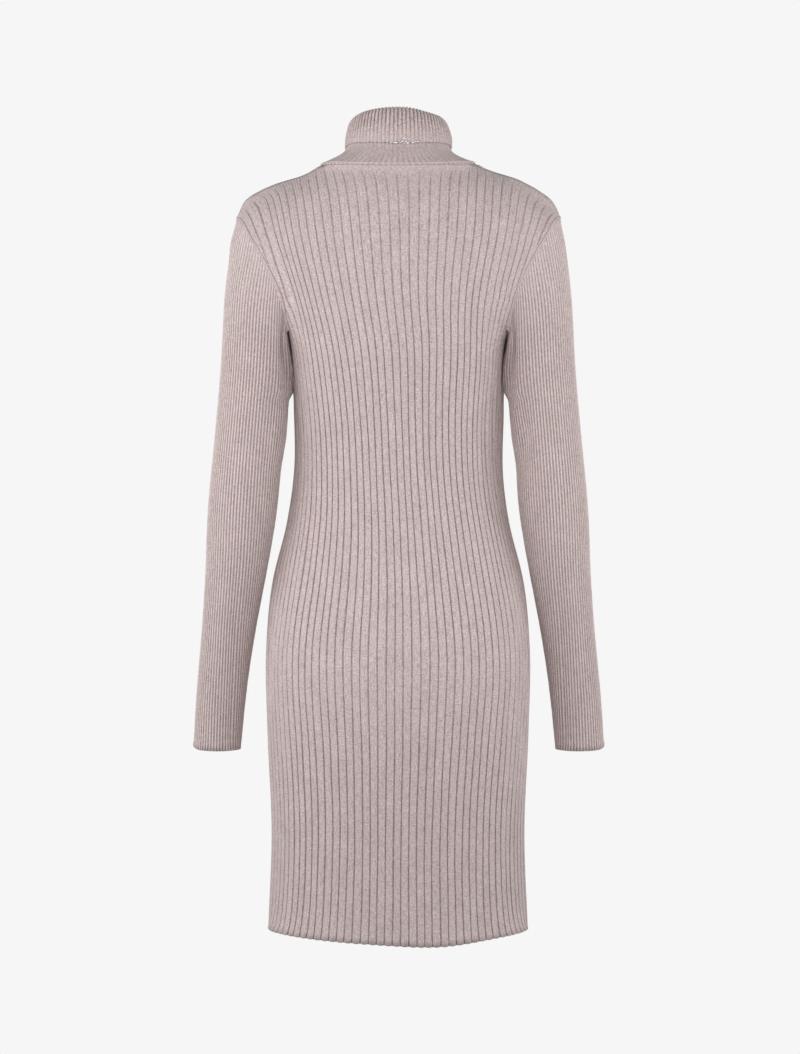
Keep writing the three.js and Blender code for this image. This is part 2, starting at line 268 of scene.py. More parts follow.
RIB_ROWS = {
    Side.BACK: (
        RibRow(-0.884, 20.8, 21.2, 0.04),
        RibRow(-0.770, 20.9, 21.1, 0.00),
        RibRow(-0.650, 20.8, 20.6, 0.00),
        RibRow(-0.610, 20.6, 20.3, 0.03),
        RibRow(-0.560, 20.6, 20.3, 0.03),
        RibRow(-0.480, 21.1, 20.9, -0.03),
        RibRow(-0.410, 20.8, 21.2, -0.02),
        RibRow(-0.350, 20.3, 21.7, -0.01),
        RibRow(-0.280, 20.0, 22.0, 0.01),
        RibRow(-0.211, 19.5, 22.2, 0.07),
        RibRow(-0.192, 16.6, 19.8, 0.12),
        RibRow(-0.160, 14.4, 18.6, 0.15),
        RibRow(-0.118, 14.9, 19.4, 0.15),
        RibRow(-0.084, 15.6, 20.2, 0.13),
        RibRow(0.000, 5.0, 10.4),
    ),
    Side.FRONT: (
        RibRow(-0.211, 21, 21),
        RibRow(-0.192, 19, 19, 0.03),
        RibRow(-0.160, 18, 18, 0.05),
        RibRow(-0.084, 18, 18, 0.08),
        RibRow(0.000, 7.7, 7.7),
    ),
}
NECKLINES = {Side.BACK: Neckline(0.060, 0.009), Side.FRONT: Neckline(0.084, 0.045)}
SHOULDER_SEAM = (
    Vector((NECK_HALF_WIDTH, NECK_SIDE_DEPTH, NECK_SIDE_HEIGHT)),
    Vector((0.114, 0.003, -0.009)),
    Vector((0.142, 0.000, -0.0185)),
    Vector((0.165, -0.003, -0.0285)),
    Vector((0.178, -0.005, -0.038)),
    Vector((0.186, -0.008, -0.056)),
)
SLEEVE_RINGS = (
    SleeveRing(-0.240, 0.2070, 0.1266, 0.000, 0.0460, 35),
    SleeveRing(-0.320, 0.2140, 0.1325, 0.003, 0.0455, 35),
    SleeveRing(-0.400, 0.2217, 0.1395, 0.002, 0.0440, 34),
    SleeveRing(-0.465, 0.2243, 0.1510, -0.004, 0.0400, 32),
    SleeveRing(-0.530, 0.2290, 0.1640, -0.012, 0.0345, 30),
    SleeveRing(-0.600, 0.2348, 0.1755, -0.021, 0.0310, 27),
    SleeveRing(-0.677, 0.2394, 0.1840, -0.030, 0.0280, 25),
)
COLLAR_RINGS = (
    CollarRing(0.0640, 0.0590, -0.0716, 0.0088, 0.0140, -0.0180, 0.1),
    CollarRing(0.0596, 0.0538, -0.0654, 0.0170, 0.0214, -0.0020, 0.1),
    CollarRing(0.0562, 0.0520, -0.0630, 0.0260, 0.0285, 0.0120, 0.0),
    CollarRing(0.0535, 0.0506, -0.0612, 0.0410, 0.0385, 0.0260, -0.6),
    CollarRing(0.0516, 0.0500, -0.0606, 0.0540, 0.0462, 0.0370, -1.0),
    CollarRing(0.0522, 0.0514, -0.0620, 0.0608, 0.0526, 0.0432, -1.1),
    CollarRing(0.0546, 0.0538, -0.0642, 0.0584, 0.0504, 0.0410, -1.2),
    CollarRing(0.0580, 0.0582, -0.0672, 0.0450, 0.0420, 0.0310, -1.0),
    CollarRing(0.0600, 0.0580, -0.0681, 0.0330, 0.0332, 0.0190, -0.4),
    CollarRing(0.0608, 0.0562, -0.0684, 0.0206, 0.0245, 0.0090, -0.1),
)
RIB_STRENGTHS = (
    (-0.884, 0.90),
    (-0.690, 1.00),
    (-0.630, 0.82),
    (-0.594, 0.74),
    (-0.560, 0.88),
    (-0.530, 1.00),
    (-0.240, 1.00),
    (-0.200, 0.88),
    (-0.140, 0.77),
    (-0.107, 0.66),
    (-0.042, 0.56),
    (-0.010, 0.45),
)
CAP_STRENGTHS = ((-0.20, 1.0), (-0.10, 0.65))
SLEEVE_REST = (
    (-0.350, 0.0),
    (-0.315, 0.0034),
    (-0.270, 0.0036),
    (-0.262, 0.0076),
    (-0.240, 0.0084),
    (-0.205, 0.0050),
    (-0.165, 0.0),
)
CREASES: tuple[Crease, ...] = (
    Crease(Side.BACK, 0.1300, -0.232, 0.040, 0.0060, 0.0090),
    Crease(Side.BACK, -0.1280, -0.232, 0.040, 0.0060, 0.0090),
    Crease(Side.FRONT, 0.1290, -0.236, 0.040, 0.0060, 0.0080),
    Crease(Side.FRONT, -0.1290, -0.236, 0.040, 0.0060, 0.0080),
)
SHIFTS = (
    Shift(-0.132, -0.022, 0.034, 0.075, 0.0, 0.0042),
    Shift(0.104, -0.004, 0.022, 0.050, 0.0, -0.0016),
    Shift(-0.050, -0.884, 0.055, 0.040, 0.0, -0.0042),
    Shift(0.193, -0.080, 0.020, 0.024, 0.0044, 0.0),
    Shift(-0.190, -0.075, 0.020, 0.034, -0.0036, 0.0),
    Shift(0.196, -0.130, 0.030, 0.050, 0.0014, 0.0),
    Shift(-0.198, -0.120, 0.030, 0.070, -0.0014, 0.0),
    Shift(0.2365, -0.640, 0.030, 0.060, 0.0014, 0.0),
    Shift(-0.2380, -0.650, 0.030, 0.080, -0.0030, 0.0),
    Shift(-0.062, 0.034, 0.016, 0.012, -0.0016, 0.0),
    Shift(-0.036, 0.062, 0.016, 0.010, 0.0, -0.0022),
    Shift(-0.122, -0.300, 0.012, 0.060, -0.0020, 0.0),
    Shift(-0.142, -0.318, 0.010, 0.036, -0.0040, 0.0),
)


def curve_through(points: np.ndarray, places: np.ndarray, wanted: np.ndarray) -> np.ndarray:
    """Reads a smooth curve through points at wanted places.

    Args:
        points: The points, one for each place, of any shape after the first axis.
        places: Rising places of the points.
        wanted: Places to read.

    Returns:
        The points at the wanted places.
    """
    flat = points.reshape(len(points), -1)
    steps = np.diff(places)[:, None]
    slopes = np.diff(flat, axis=0) / steps
    tangents = np.empty_like(flat)
    tangents[1:-1] = (slopes[:-1] * steps[1:] + slopes[1:] * steps[:-1]) / (steps[:-1] + steps[1:])
    tangents[0], tangents[-1] = slopes[0], slopes[-1]
    low = np.clip(np.searchsorted(places, wanted, side="right") - 1, 0, len(points) - 2)
    step = steps[low]
    t = (np.asarray(wanted)[:, None] - places[low][:, None]) / step
    start = (1 + 2 * t) * (1 - t) ** 2 * flat[low] + t * (1 - t) ** 2 * step * tangents[low]
    end = t**2 * (3 - 2 * t) * flat[low + 1] - t**2 * (1 - t) * step * tangents[low + 1]
    return (start + end).reshape(len(wanted), *points.shape[1:])


def arc_places(points: np.ndarray) -> np.ndarray:
    """Gives the length of a line of points from its start to each point."""
    steps = np.linalg.norm(np.diff(points, axis=0), axis=-1)
    return np.concatenate([[0.0], np.cumsum(steps)])


def read_line(line: np.ndarray, lengths: np.ndarray, wanted: np.ndarray) -> np.ndarray:
    """Reads a line of points at wanted lengths from its start.

    Args:
        line: The points.
        lengths: Each point's length from the start.
        wanted: Lengths to read.

    Returns:
        The points at the wanted lengths.
    """
    return np.stack([np.interp(wanted, lengths, line[:, i]) for i in range(3)], axis=-1)


def row_places(places: np.ndarray, counts: Iterable[int]) -> np.ndarray:
    """Spaces rows evenly between known places.

    Args:
        places: The known places, which rise.
        counts: Rows from each place up to the next.

    Returns:
        The rows' places, up to the last known place.
    """
    parts = [
        np.linspace(low, high, count, endpoint=False)
        for low, high, count in zip(places, places[1:], counts)
    ]
    return np.concatenate([*parts, places[-1:]])


def spaced_rows(net: np.ndarray, step: float, fewest: int) -> tuple[np.ndarray, np.ndarray]:
    """Spaces a cloth's rows along its control net.

    Args:
        net: The net's points, rows by columns.
        step: About the longest step between two rows of the cloth.
        fewest: Fewest rows of the cloth for each row of the net.

    Returns:
        The places of the net's rows and of the cloth's rows.
    """
    gaps = np.linalg.norm(np.diff(net, axis=0), axis=-1)
    places = np.concatenate([[0], np.cumsum(gaps.mean(axis=1))])
    counts = np.maximum(np.rint(gaps.max(axis=1) / step), fewest).astype(int)
    return places, row_places(places, counts)


def squeezed(lines: np.ndarray, ends: tuple[Any, Any], kept: int, edge: int) -> np.ndarray:
    """Places the rib lines where fewer ribs are left.

    Args:
        lines: Rib lines, counted from the middle of the widest row.
        ends: Ribs up to the left and the right edge, each one number or one for each row.
        kept: Ribs on each side of the middle that keep their places.
        edge: Ribs from the middle to each edge of the widest row.

    Returns:
        Their places across the ribs, rows by columns.
    """
    over = np.maximum(np.abs(lines) - kept, 0)[None, :]
    near = np.minimum(np.abs(lines), kept)[None, :]
    left, right = (np.atleast_1d(end)[:, None] for end in ends)
    room = (np.where(lines[None, :] > 0, left, right) - kept) / (edge - kept)
    return np.sign(lines)[None, :] * (near + over * room)


def on_bend(start: np.ndarray, end: np.ndarray, corner: tuple, climb: float) -> np.ndarray:
    """Gives the points at a share of the way round a bend.

    Args:
        start: Points at the bend's start.
        end: Points at its end.
        corner: Shares of the way, along each axis, at which its corner lies.
        climb: Share of the way round it.

    Returns:
        The points.
    """
    middle = start + (end - start) * np.array(corner)
    return (1 - climb) ** 2 * start + 2 * climb * (1 - climb) * middle + climb**2 * end


def unit(vectors: np.ndarray) -> np.ndarray:
    """Gives vectors of length one."""
    return vectors / np.maximum(np.linalg.norm(vectors, axis=-1, keepdims=True), 1e-12)


def relaxed(points: np.ndarray, rounds: int, closed: bool) -> np.ndarray:
    """Evens out a grid of points inside its fixed border.

    Args:
        points: The grid, rows by columns.
        rounds: How often each point moves to the middle of its neighbours.
        closed: True where the last column lies on the first.

    Returns:
        The evened grid.
    """
    grid = points[:, :-1].copy() if closed else points.copy()
    for _ in range(rounds):
        left, right = np.roll(grid, 1, axis=1), np.roll(grid, -1, axis=1)
        middle = (grid[:-2] + grid[2:] + left[1:-1] + right[1:-1]) / 4
        if closed:
            grid[1:-1] = middle
        else:
            grid[1:-1, 1:-1] = middle[:, 1:-1]
    return np.concatenate([grid, grid[:, :1]], axis=1) if closed else grid


def grid_normals(points: np.ndarray, closed: bool) -> np.ndarray:
    """Gives the unit normals of a grid of points, for one order of its rows and columns.

    Args:
        points: The grid, rows by columns.
        closed: True where the last column lies on the first.

    Returns:
        A normal for each point.
    """
    if closed:
        wrapped = np.concatenate([points[:, -2:-1], points, points[:, 1:2]], axis=1)
        sideways = wrapped[:, 2:] - wrapped[:, :-2]
    else:
        sideways = np.gradient(points, axis=1)
    return unit(np.cross(sideways, np.gradient(points, axis=0)))


def groove_shape(across: np.ndarray, half: float) -> np.ndarray:
    """Gives the depth of the grooves, from 0 on a rib to 1 at each whole number.

    Args:
        across: Places across the ribs, counted in ribs.
        half: Half of a groove's width, counted in ribs.

    Returns:
        The depths.
    """
    from_groove = np.abs(across - np.round(across))
    return 0.5 * (1 + np.cos(np.pi * np.minimum(from_groove / half, 1.0)))


def uneven(points: np.ndarray) -> np.ndarray:
    """Moves points by the listed shifts.

    Args:
        points: Any points of the dress.

    Returns:
        The moved points.
    """
    moved = points.copy()
    for shift in SHIFTS:
        far = ((points[..., 0] - shift.x) / shift.width) ** 2
        far += ((points[..., 2] - shift.z) / shift.height) ** 2
        share = np.exp(-far)
        moved[..., 0] += shift.dx * share
        moved[..., 2] += shift.dz * share
    return moved


@dataclass
class Cloth:
    """A grid of points on a knitted cloth, with each point's place in the knitting.

    Attributes:
        points: The points, rows by columns.
        across: Each point's place across the ribs, counted in ribs.
        along: Each point's place along the ribs.
        relief: How strongly the ribs stand out at each point, which also sets how dark their grooves
            are painted, a painted shade.
        closed: True where the last column lies on the first.
    """

    points: np.ndarray
    across: np.ndarray
    along: np.ndarray
    relief: np.ndarray
    closed: bool

    def mesh(self, name: str, outward: np.ndarray) -> bpy.types.Mesh:
        """Makes the mesh, with the places in the knitting as its UV map.

        Args:
            name: The mesh's name.
            outward: Directions out of the cloth, rows by columns, which the faces are turned to.

        Returns:
            The mesh.
        """
        rows, columns = self.across.shape
        grid = bmesh.new()
        grid.loops.layers.uv.new(KNIT_MAP)
        bmesh.ops.create_grid(
            grid, x_segments=columns - 1, y_segments=rows - 1, size=0.5, calc_uvs=True
        )
        mesh = mesh_from(name, grid)
        corners = np.empty(2 * len(mesh.loops), dtype=np.float32)
        layer = mesh.uv_layers[KNIT_MAP].uv
        layer.foreach_get("vector", corners)
        column, row = np.rint(corners.reshape(-1, 2) * (columns - 1, rows - 1)).astype(int).T
        places = np.stack([self.across[row, column], self.along[row, column]], axis=-1)
        layer.foreach_set("vector", places.astype(np.float32).ravel())
        flat = np.empty(3 * len(mesh.vertices), dtype=np.float32)
        mesh.vertices.foreach_get("co", flat)
        spots = (flat.reshape(-1, 3)[:, :2] + 0.5) * (columns - 1, rows - 1)
        column, row = np.rint(spots).astype(int).T
        places = uneven(self.points[row, column])
        mesh.vertices.foreach_set("co", places.astype(np.float32).ravel())
        strength = mesh.attributes.new(RELIEF, "FLOAT", "POINT")
        strength.data.foreach_set("value", self.relief[row, column].astype(np.float32))
        mesh.update()
        normals = np.empty(3 * len(mesh.vertices), dtype=np.float32)
        mesh.vertices.foreach_get("normal", normals)
        if np.sum(normals.reshape(-1, 3) * outward[row, column]) < 0:
            mesh.flip_normals()
        if self.closed:
            shell = bmesh.new()
            shell.from_mesh(mesh)
            bmesh.ops.remove_doubles(shell, verts=shell.verts[:], dist=1e-6)
            shell.to_mesh(mesh)
            shell.free()
        mesh.polygons.foreach_set("use_smooth", [True] * len(mesh.polygons))
        return mesh


def mesh_from(name: str, shape: bmesh.types.BMesh) -> bpy.types.Mesh:
    """Turns a finished shape into a mesh and frees it."""
    mesh = bpy.data.meshes.new(name)
    shape.to_mesh(mesh)
    shape.free()
    return mesh


def placed(name: str, data: bpy.types.ID) -> bpy.types.Object:
    """Puts a mesh, a light or a camera into the scene."""
    holder = bpy.data.objects.new(name, data)
    bpy.context.collection.objects.link(holder)
    return holder


def show(name: str, mesh: bpy.types.Mesh, finish: bpy.types.Material) -> bpy.types.Object:
    """Puts a mesh into the scene as a piece of the dress.

    Args:
        name: The piece's name.
        mesh: Its mesh.
        finish: Its material.

    Returns:
        The piece.
    """
    piece = placed(name, mesh)
    mesh.materials.append(finish)
    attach(piece, "root")
    LOG.info("%s: %d faces", name, len(mesh.polygons))
    return piece


def thicken(piece: bpy.types.Object, wall: float, offset: float) -> None:
    """Gives a piece its wall.

    Args:
        piece: The piece.
        wall: The wall's thickness.
        offset: -1 where the piece's mesh is the outer face, 0 where it is the middle.
    """
    solidify = piece.modifiers.new("wall", "SOLIDIFY")
    solidify.thickness = wall
    solidify.offset = offset
    solidify.use_rim = True


Number = Union["Value", float]


class Value:
    """A shader socket whose operators add Math nodes."""

    def __init__(self, graph: "Graph", socket: bpy.types.NodeSocket) -> None:
        """Wraps a socket of a graph."""
        self.graph = graph
        self.socket = socket

    def math(self, operation: str, *others: Number) -> "Value":
        """Gives the result of a Math node on this value and others."""
        return self.graph.node("ShaderNodeMath", {"operation": operation}, [self, *others])

    def __add__(self, other: Number) -> "Value":
        """Adds."""
        return self.math("ADD", other)

    def __radd__(self, other: Number) -> "Value":
        """Adds to a number."""
        return self.math("ADD", other)

    def __sub__(self, other: Number) -> "Value":
        """Takes away."""
        return self.math("SUBTRACT", other)

    def __rsub__(self, other: float) -> "Value":
        """Takes this value away from a number."""
        return self.graph.node("ShaderNodeMath", {"operation": "SUBTRACT"}, [other, self])

    def __mul__(self, other: Number) -> "Value":
        """Multiplies."""
        return self.math("MULTIPLY", other)

    def __truediv__(self, other: Number) -> "Value":
        """Divides."""
        return self.math("DIVIDE", other)

    def __abs__(self) -> "Value":
        """Drops the sign."""
        return self.math("ABSOLUTE")

    def fraction(self) -> "Value":
        """Keeps the part after the point."""
        return self.math("FRACT")

    def sine(self) -> "Value":
        """Gives the sine."""
        return self.math("SINE")

    def ramp(self, low: float, high: float) -> "Value":
        """Gives 0 at low and 1 at high, with soft ends."""
        settings = {"interpolation_type": "SMOOTHSTEP"}
        values = {"Value": self, "From Min": low, "From Max": high}
        return self.graph.node("ShaderNodeMapRange", settings, values)


class Graph:
    """The nodes of one material."""

    def __init__(self, name: str) -> None:
        """Starts a material with its shader and no other node."""
        self.material = bpy.data.materials.new(name)
        self.material.use_nodes = True
        self.tree = self.material.node_tree
        self.shader = self.tree.nodes["Principled BSDF"]

    def node(
        self,
        kind: str,
        settings: Optional[dict[str, Any]] = None,
        values: Union[dict[Union[str, int], Any], list[Any], None] = None,
        output: Union[str, int] = 0,
    ) -> Value:
        """Adds a node.

        Args:
            kind: The node's type.
            settings: The node's own settings, which are set first.
            values: Numbers or values for its sockets, by name, or in order.
            output: The output that is given back.

        Returns:
            The output.
        """
        made = self.tree.nodes.new(kind)
        for key, setting in (settings or {}).items():
            setattr(made, key, setting)
        pairs = values.items() if isinstance(values, dict) else enumerate(values or [])
        for key, value in pairs:
            if isinstance(value, Value):
                self.tree.links.new(value.socket, made.inputs[key])
            else:
                made.inputs[key].default_value = value
        return Value(self, made.outputs[output])

    def blend(self, share: Number, first: Any, second: Any) -> Value:
        """Mixes two colours.

        Args:
            share: Share of the second colour.
            first: The first colour, or a value.
            second: The second colour, or a value.

        Returns:
            The mixed colour.
        """
        return self.node("ShaderNodeMix", {"data_type": "RGBA"}, {0: share, 6: first, 7: second}, 2)

    def noise(self, x: Number, y: Number, detail: float) -> Value:
        """Gives soft noise on a flat place, about 0.5 on average.

        Args:
            x: Place across, counted in noise cells.
            y: Place along, counted in noise cells.
            detail: How many finer layers it has.

        Returns:
            The noise.
        """
        place = self.node("ShaderNodeCombineXYZ", None, {"X": x, "Y": y})
        values = {"Vector": place, "Scale": 1.0, "Detail": detail}
        return self.node("ShaderNodeTexNoise", {"noise_dimensions": "2D"}, values)

    def knit_places(self) -> tuple[Value, Value]:
        """Gives the places across and along the knitting."""
        place = self.node("ShaderNodeUVMap", {"uv_map": KNIT_MAP})
        across = self.node("ShaderNodeSeparateXYZ", None, {"Vector": place}, "X")
        return across, self.node("ShaderNodeSeparateXYZ", None, {"Vector": place}, "Y")

    def feed(self, socket: str, value: Value) -> None:
        """Links a value to a socket of the shader."""
        self.tree.links.new(value.socket, self.shader.inputs[socket])

    def fix(self, **values: Any) -> None:
        """Sets numbers on the shader's own sockets, named with _ for each space."""
        for key, value in values.items():
            self.shader.inputs[key.replace("_", " ")].default_value = value


@dataclass(frozen=True)
class RibFinish:
    """Heathered rib knit, with its stitches, flecks and painted shade in its grooves.

    Attributes:
        name: The material's name.
        pale: Colour of the lightest fibres.
        dark: Colour of the darkest fibres, which the painted shade in the grooves also leans to.
        pink: Colour that the pinker fibres lean to.
        pitch: Width of a rib.
        phase: Where the grooves lie, counted in ribs from the middle.
        wales: Columns of stitches on a rib.
        groove: Half of a groove's width, counted in ribs.
        shade: How much darker the grooves are painted, a painted shade, from 0 to 1.
        lift: How much paler the whole rib is painted, a painted light, from 0 to 1.
        course: Height of a stitch.
    """

    name: str
    pale: Colour = (0.80, 0.690, 0.678, 1)
    dark: Colour = (0.305, 0.234, 0.227, 1)
    pink: Colour = (0.60, 0.47, 0.46, 1)
    pitch: float = 0.0081
    phase: float = 0.5
    wales: int = 3
    groove: float = 0.13
    shade: float = 0.78
    lift: float = 0.0
    course: float = 0.0017

    def material(self) -> bpy.types.Material:
        """Makes the material."""
        graph = Graph(self.name)
        ribs, along = graph.knit_places()
        relief = graph.node("ShaderNodeAttribute", {"attribute_name": RELIEF}, None, "Fac")
        across = ribs * self.pitch
        from_groove = 0.5 - abs((ribs + self.phase).fraction() - 0.5)
        # The relief attribute scales the painted shade in the grooves.
        in_groove = (1 - from_groove.ramp(self.groove * 0.15, self.groove)) * relief
        streaks = graph.noise(across * 850, along * 130, 3.0) - 0.5
        flecks = graph.noise(across * 700 + 7.3, along * 560, 2.0) - 0.5
        rows = graph.noise(across * 140 + 2.9, along * 760, 1.0) - 0.5
        clouds = graph.noise(across * 60 + 3.1, along * 30, 2.0) - 0.5
        hue = graph.noise(across * 260 + 19.7, along * 220, 2.0).ramp(0.42, 0.68)
        # The lift paints the whole rib paler, a painted light.
        tone = 0.5 + self.lift + streaks * 0.8 + flecks * 1.2 + rows * 0.4 + clouds * 0.25
        # The grooves are painted darker here: a painted shade for the shade that falls into them.
        yarn = graph.blend((tone - in_groove * self.shade).ramp(-0.3, 1.3), self.dark, self.pale)
        graph.feed("Base Color", graph.blend(hue * 0.35, yarn, self.pink))
        graph.feed("Normal", self.stitches(graph, from_groove, in_groove, across, along))
        graph.fix(Roughness=0.94, Sheen_Weight=0.18, Sheen_Roughness=0.6)
        graph.shader.inputs["Specular IOR Level"].default_value = 0.2
        return graph.material

    def stitches(
        self, graph: Graph, from_groove: Value, in_groove: Value, across: Value, along: Value
    ) -> Value:
        """Raises the stitches and the loose fibres.

        Args:
            graph: The material's nodes.
            from_groove: Distance from the nearest groove, counted in ribs.
            in_groove: 0 on a rib and 1 in a groove.
            across: Place across the cloth.
            along: Place along the cloth.

        Returns:
            The bumped normal.
        """
        wale = ((0.5 - from_groove) * self.wales + 0.5).fraction()
        from_wale = abs(wale - 0.5)
        legs = ((along / self.course + from_wale * 1.1) * math.tau).sine()
        valley = 1 - from_wale * from_wale * 4
        fuzz = graph.noise(across * 1900, along * 1400, 2.0)
        height = (legs * 0.35 + valley) * (1 - in_groove) + fuzz * 0.8
        values = {"Strength": 0.6, "Distance": 0.0004, "Height": height}
        return graph.node("ShaderNodeBump", None, values)


@dataclass(frozen=True)
class LinkingYarn:
    """The single yarn that links two pieces.

    Attributes:
        name: The material's name.
        pale: Colour of the yarn's high places.
        dark: Colour of its low places.
    """

    name: str = "linking_yarn"
    pale: Colour = (0.78, 0.67, 0.66, 1)
    dark: Colour = (0.46, 0.37, 0.362, 1)

    def material(self) -> bpy.types.Material:
        """Makes the material."""
        graph = Graph(self.name)
        around, along = graph.knit_places()
        strands = ((around * 3 + along * 420) * math.tau).sine()
        fibres = graph.noise(around * 9, along * 900, 2.0)
        graph.feed("Base Color", graph.blend(fibres.ramp(0.2, 0.8), self.dark, self.pale))
        values = {"Strength": 0.5, "Distance": 0.0003, "Height": strands * 0.5 + fibres}
        graph.feed("Normal", graph.node("ShaderNodeBump", None, values))
        graph.fix(Roughness=0.92, Sheen_Weight=0.15)
        return graph.material


@dataclass(frozen=True)
class SilverBead:
    """Polished silver-coloured metal with faint wear.

    Attributes:
        name: The material's name.
        bright: Colour of the polished metal.
        worn: Colour of the worn places.
    """

    name: str = "silver_bead"
    bright: Colour = (0.93, 0.93, 0.95, 1)
    worn: Colour = (0.55, 0.54, 0.55, 1)

    def material(self) -> bpy.types.Material:
        """Makes the material."""
        graph = Graph(self.name)
        place = graph.node("ShaderNodeTexCoord", None, None, "Object")
        values = {"Vector": place, "Scale": 900.0, "Detail": 2.0}
        wear = graph.node("ShaderNodeTexNoise", None, values).ramp(0.5, 0.75)
        graph.feed("Base Color", graph.blend(wear, self.bright, self.worn))
        graph.feed("Roughness", 0.2 + wear * 0.2)
        graph.fix(Metallic=1.0)
        return graph.material


@dataclass
class Panel:
    """One body panel in wide flat ribs, from the hem to the shoulder seams and its neckline.

    Attributes:
        side: The side of the body that it covers.
        finish: Its material.
        wall: Thickness of the cloth.
        groove: Depth of the grooves between the ribs.
        groove_half: Half of a groove's width, counted in ribs.
        crown: How much lower a rib's edges lie than its middle.
        seam_dip: Depth of the dip along the panel's edges.
        dip_width: How far that dip reaches, counted in ribs.
        plain_edge: Width of the edge without grooves, counted in ribs.
        plain_fade: Width over which the grooves start beside it, counted in ribs.
        row_step: About the longest step between two rows.
        fewest_rows: Fewest rows for each level.
        smoothing: How often the points are evened out.
        columns: Places of the fine columns beside each groove, counted in ribs.
        hem_sag: How far the middle of the hem hangs down and its two ends rise.
        hem_reach: Height over which that fades.
        hem_scallop: How far each groove draws the hem's edge up.
        scallop_half: Half of such a place's width, counted in ribs.
        sway: Size of the ribs' sideways wander.
        sway_waves: Lengths of its waves.
        still_edge: Width of the edge that doesn't wander, counted in ribs.
        still_fade: Width over which the wander grows beside it, counted in ribs.
        seed: Start of the random draws.
        side_shade: How much stronger the painted shade in the grooves is at the panel's sides.
        neck_band: Width of the plain band below the top edge.
        neck_fade: How far the ribs take to rise below the neckline.
        shoulder_fade: How far they would take at the shoulder seams' full share.
        shoulder_start: Share of the way to the top's edges where that length starts to grow.
        shoulder_growth: Shares of the way over which it would grow in full.
        cut: Width and length of the flat cut; not used.
        cut_area: Area of the flat cut; not used.
        cloth: The cloth, once it is knitted.
        armhole: Points along the armhole, going up.
        armhole_normals: Directions out of the cloth at these points.
    """

    side: Side
    finish: bpy.types.Material
    wall: float = 0.0024
    groove: float = 0.0011
    groove_half: float = 0.12
    crown: float = 0.0004
    seam_dip: float = 0.0005
    dip_width: float = 0.3
    plain_edge: float = 0.35
    plain_fade: float = 0.2
    row_step: float = 0.0078
    fewest_rows: int = 3
    smoothing: int = 26
    columns: tuple[float, ...] = (-0.5, -0.25, -0.12, -0.055, 0.0, 0.055, 0.12, 0.25)
    hem_sag: float = 0.0036
    hem_reach: float = 0.12
    hem_scallop: float = 0.0008
    scallop_half: float = 0.4
    sway: float = 0.00035
    sway_waves: tuple[float, ...] = (0.9, 0.37, 0.17, 0.09)
    still_edge: float = 2
    still_fade: float = 3
    seed: int = 11
    side_shade: float = 1.1
    neck_band: float = 0.007
    neck_fade: float = 0.014
    shoulder_fade: float = 0.030
    shoulder_start: float = 0.85
    shoulder_growth: float = 0.4
    cut: tuple[float, float] = (0.400, 0.905)
    cut_area: float = 0.335
    cloth: Optional[Cloth] = field(default=None, init=False)
    armhole: Optional[np.ndarray] = field(default=None, init=False)
    armhole_normals: Optional[np.ndarray] = field(default=None, init=False)

    def levels(self) -> list[Level]:
        """Gives the levels below the shoulder."""
        back = self.side is Side.BACK
        below = [Level(s.z, s.x, s.y, s.back if back else s.front) for s in SIDE_LEVELS]
        return below + list(ARMHOLE_LEVELS[self.side])

    def section(self, level: Level, shares: np.ndarray) -> np.ndarray:
        """Gives the points of a level.

        Args:
            level: The level.
            shares: Shares of the way from its middle to its edges, below zero at the right.

        Returns:
            The points.
        """
        end = math.radians(level.turn)
        angles = np.linspace(0, end, MEASURING_STEPS + 1)
        sine = np.sin(angles) ** SQUARENESS
        cosine = np.maximum(np.cos(angles), 0) ** SQUARENESS
        x = level.x * sine / sine[-1]
        y = level.centre + (level.y - level.centre) * (1 - cosine) / (1 - cosine[-1])
        y += self.side.value * HALF_SEAM
        line = np.stack([x, y, np.full_like(x, level.z)], axis=-1)
        lengths = arc_places(line)
        wanted = np.abs(shares) * lengths[-1]
        spots = read_line(line, lengths, wanted)
        spots[:, 0] *= np.sign(shares)
        return spots

    def neckline(self, angles: np.ndarray) -> np.ndarray:
        """Gives the neckline's points.

        Args:
            angles: Angles from its middle, up to a right angle each way.

        Returns:
            The points.
        """
        shape = NECKLINES[self.side]
        cosine = np.maximum(np.cos(angles), 0)
        facing = self.side.value
        x = NECK_HALF_WIDTH * np.sin(angles)
        y = NECK_SIDE_DEPTH + facing * (HALF_SEAM + shape.depth * cosine)
        z = NECK_SIDE_HEIGHT - shape.drop * cosine**1.5
        return np.stack([x, y, z], axis=-1)

    def shares(self, across: np.ndarray, row: RibRow) -> np.ndarray:
        """Gives the shares of the way to a level's edges.

        Args:
            across: Places counted in ribs.
            row: How the ribs lie at that level.

        Returns:
            The shares, from -1 at the right edge to 1 at the left one.
        """
        even = (2 * across - row.left + row.right) / (row.left + row.right)
        return even + row.spread * even * (1 - even**2)

    def top_edge(self, across: np.ndarray, row: RibRow) -> np.ndarray:
        """Gives the points of the neckline and the shoulder seams.

        Args:
            across: Places counted in ribs.
            row: The ribs up to the ends of the shoulder seams.

        Returns:
            The points.
        """
        neck = RIB_ROWS[self.side][-1]
        even = self.shares(across, neck)
        sine = np.arcsin(np.clip(even, -1, 1))
        flat = math.pi / 2 * np.clip(even, -1, 1)
        points = self.neckline(flat + (sine - flat) * NECK_RIBS_BY_SINE)
        seam = np.array([list(point) for point in SHOULDER_SEAM])
        steps = np.sqrt(np.linalg.norm(np.diff(seam, axis=0), axis=1))
        places = np.concatenate([[0], np.cumsum(steps)])
        fine = curve_through(seam, places, np.linspace(0, places[-1], MEASURING_STEPS))
        lengths = arc_places(fine)
        left = (across - neck.left) / (row.left - neck.left)
        right = (-across - neck.right) / (row.right - neck.right)
        wanted = np.clip(np.maximum(left, right), 0, 1) * lengths[-1]
        spots = read_line(fine, lengths, wanted)
        spots[:, 0] *= np.sign(across)
        spots[:, 1] += self.side.value * HALF_SEAM
        return np.where((np.abs(even) > 1)[:, None], spots, points)

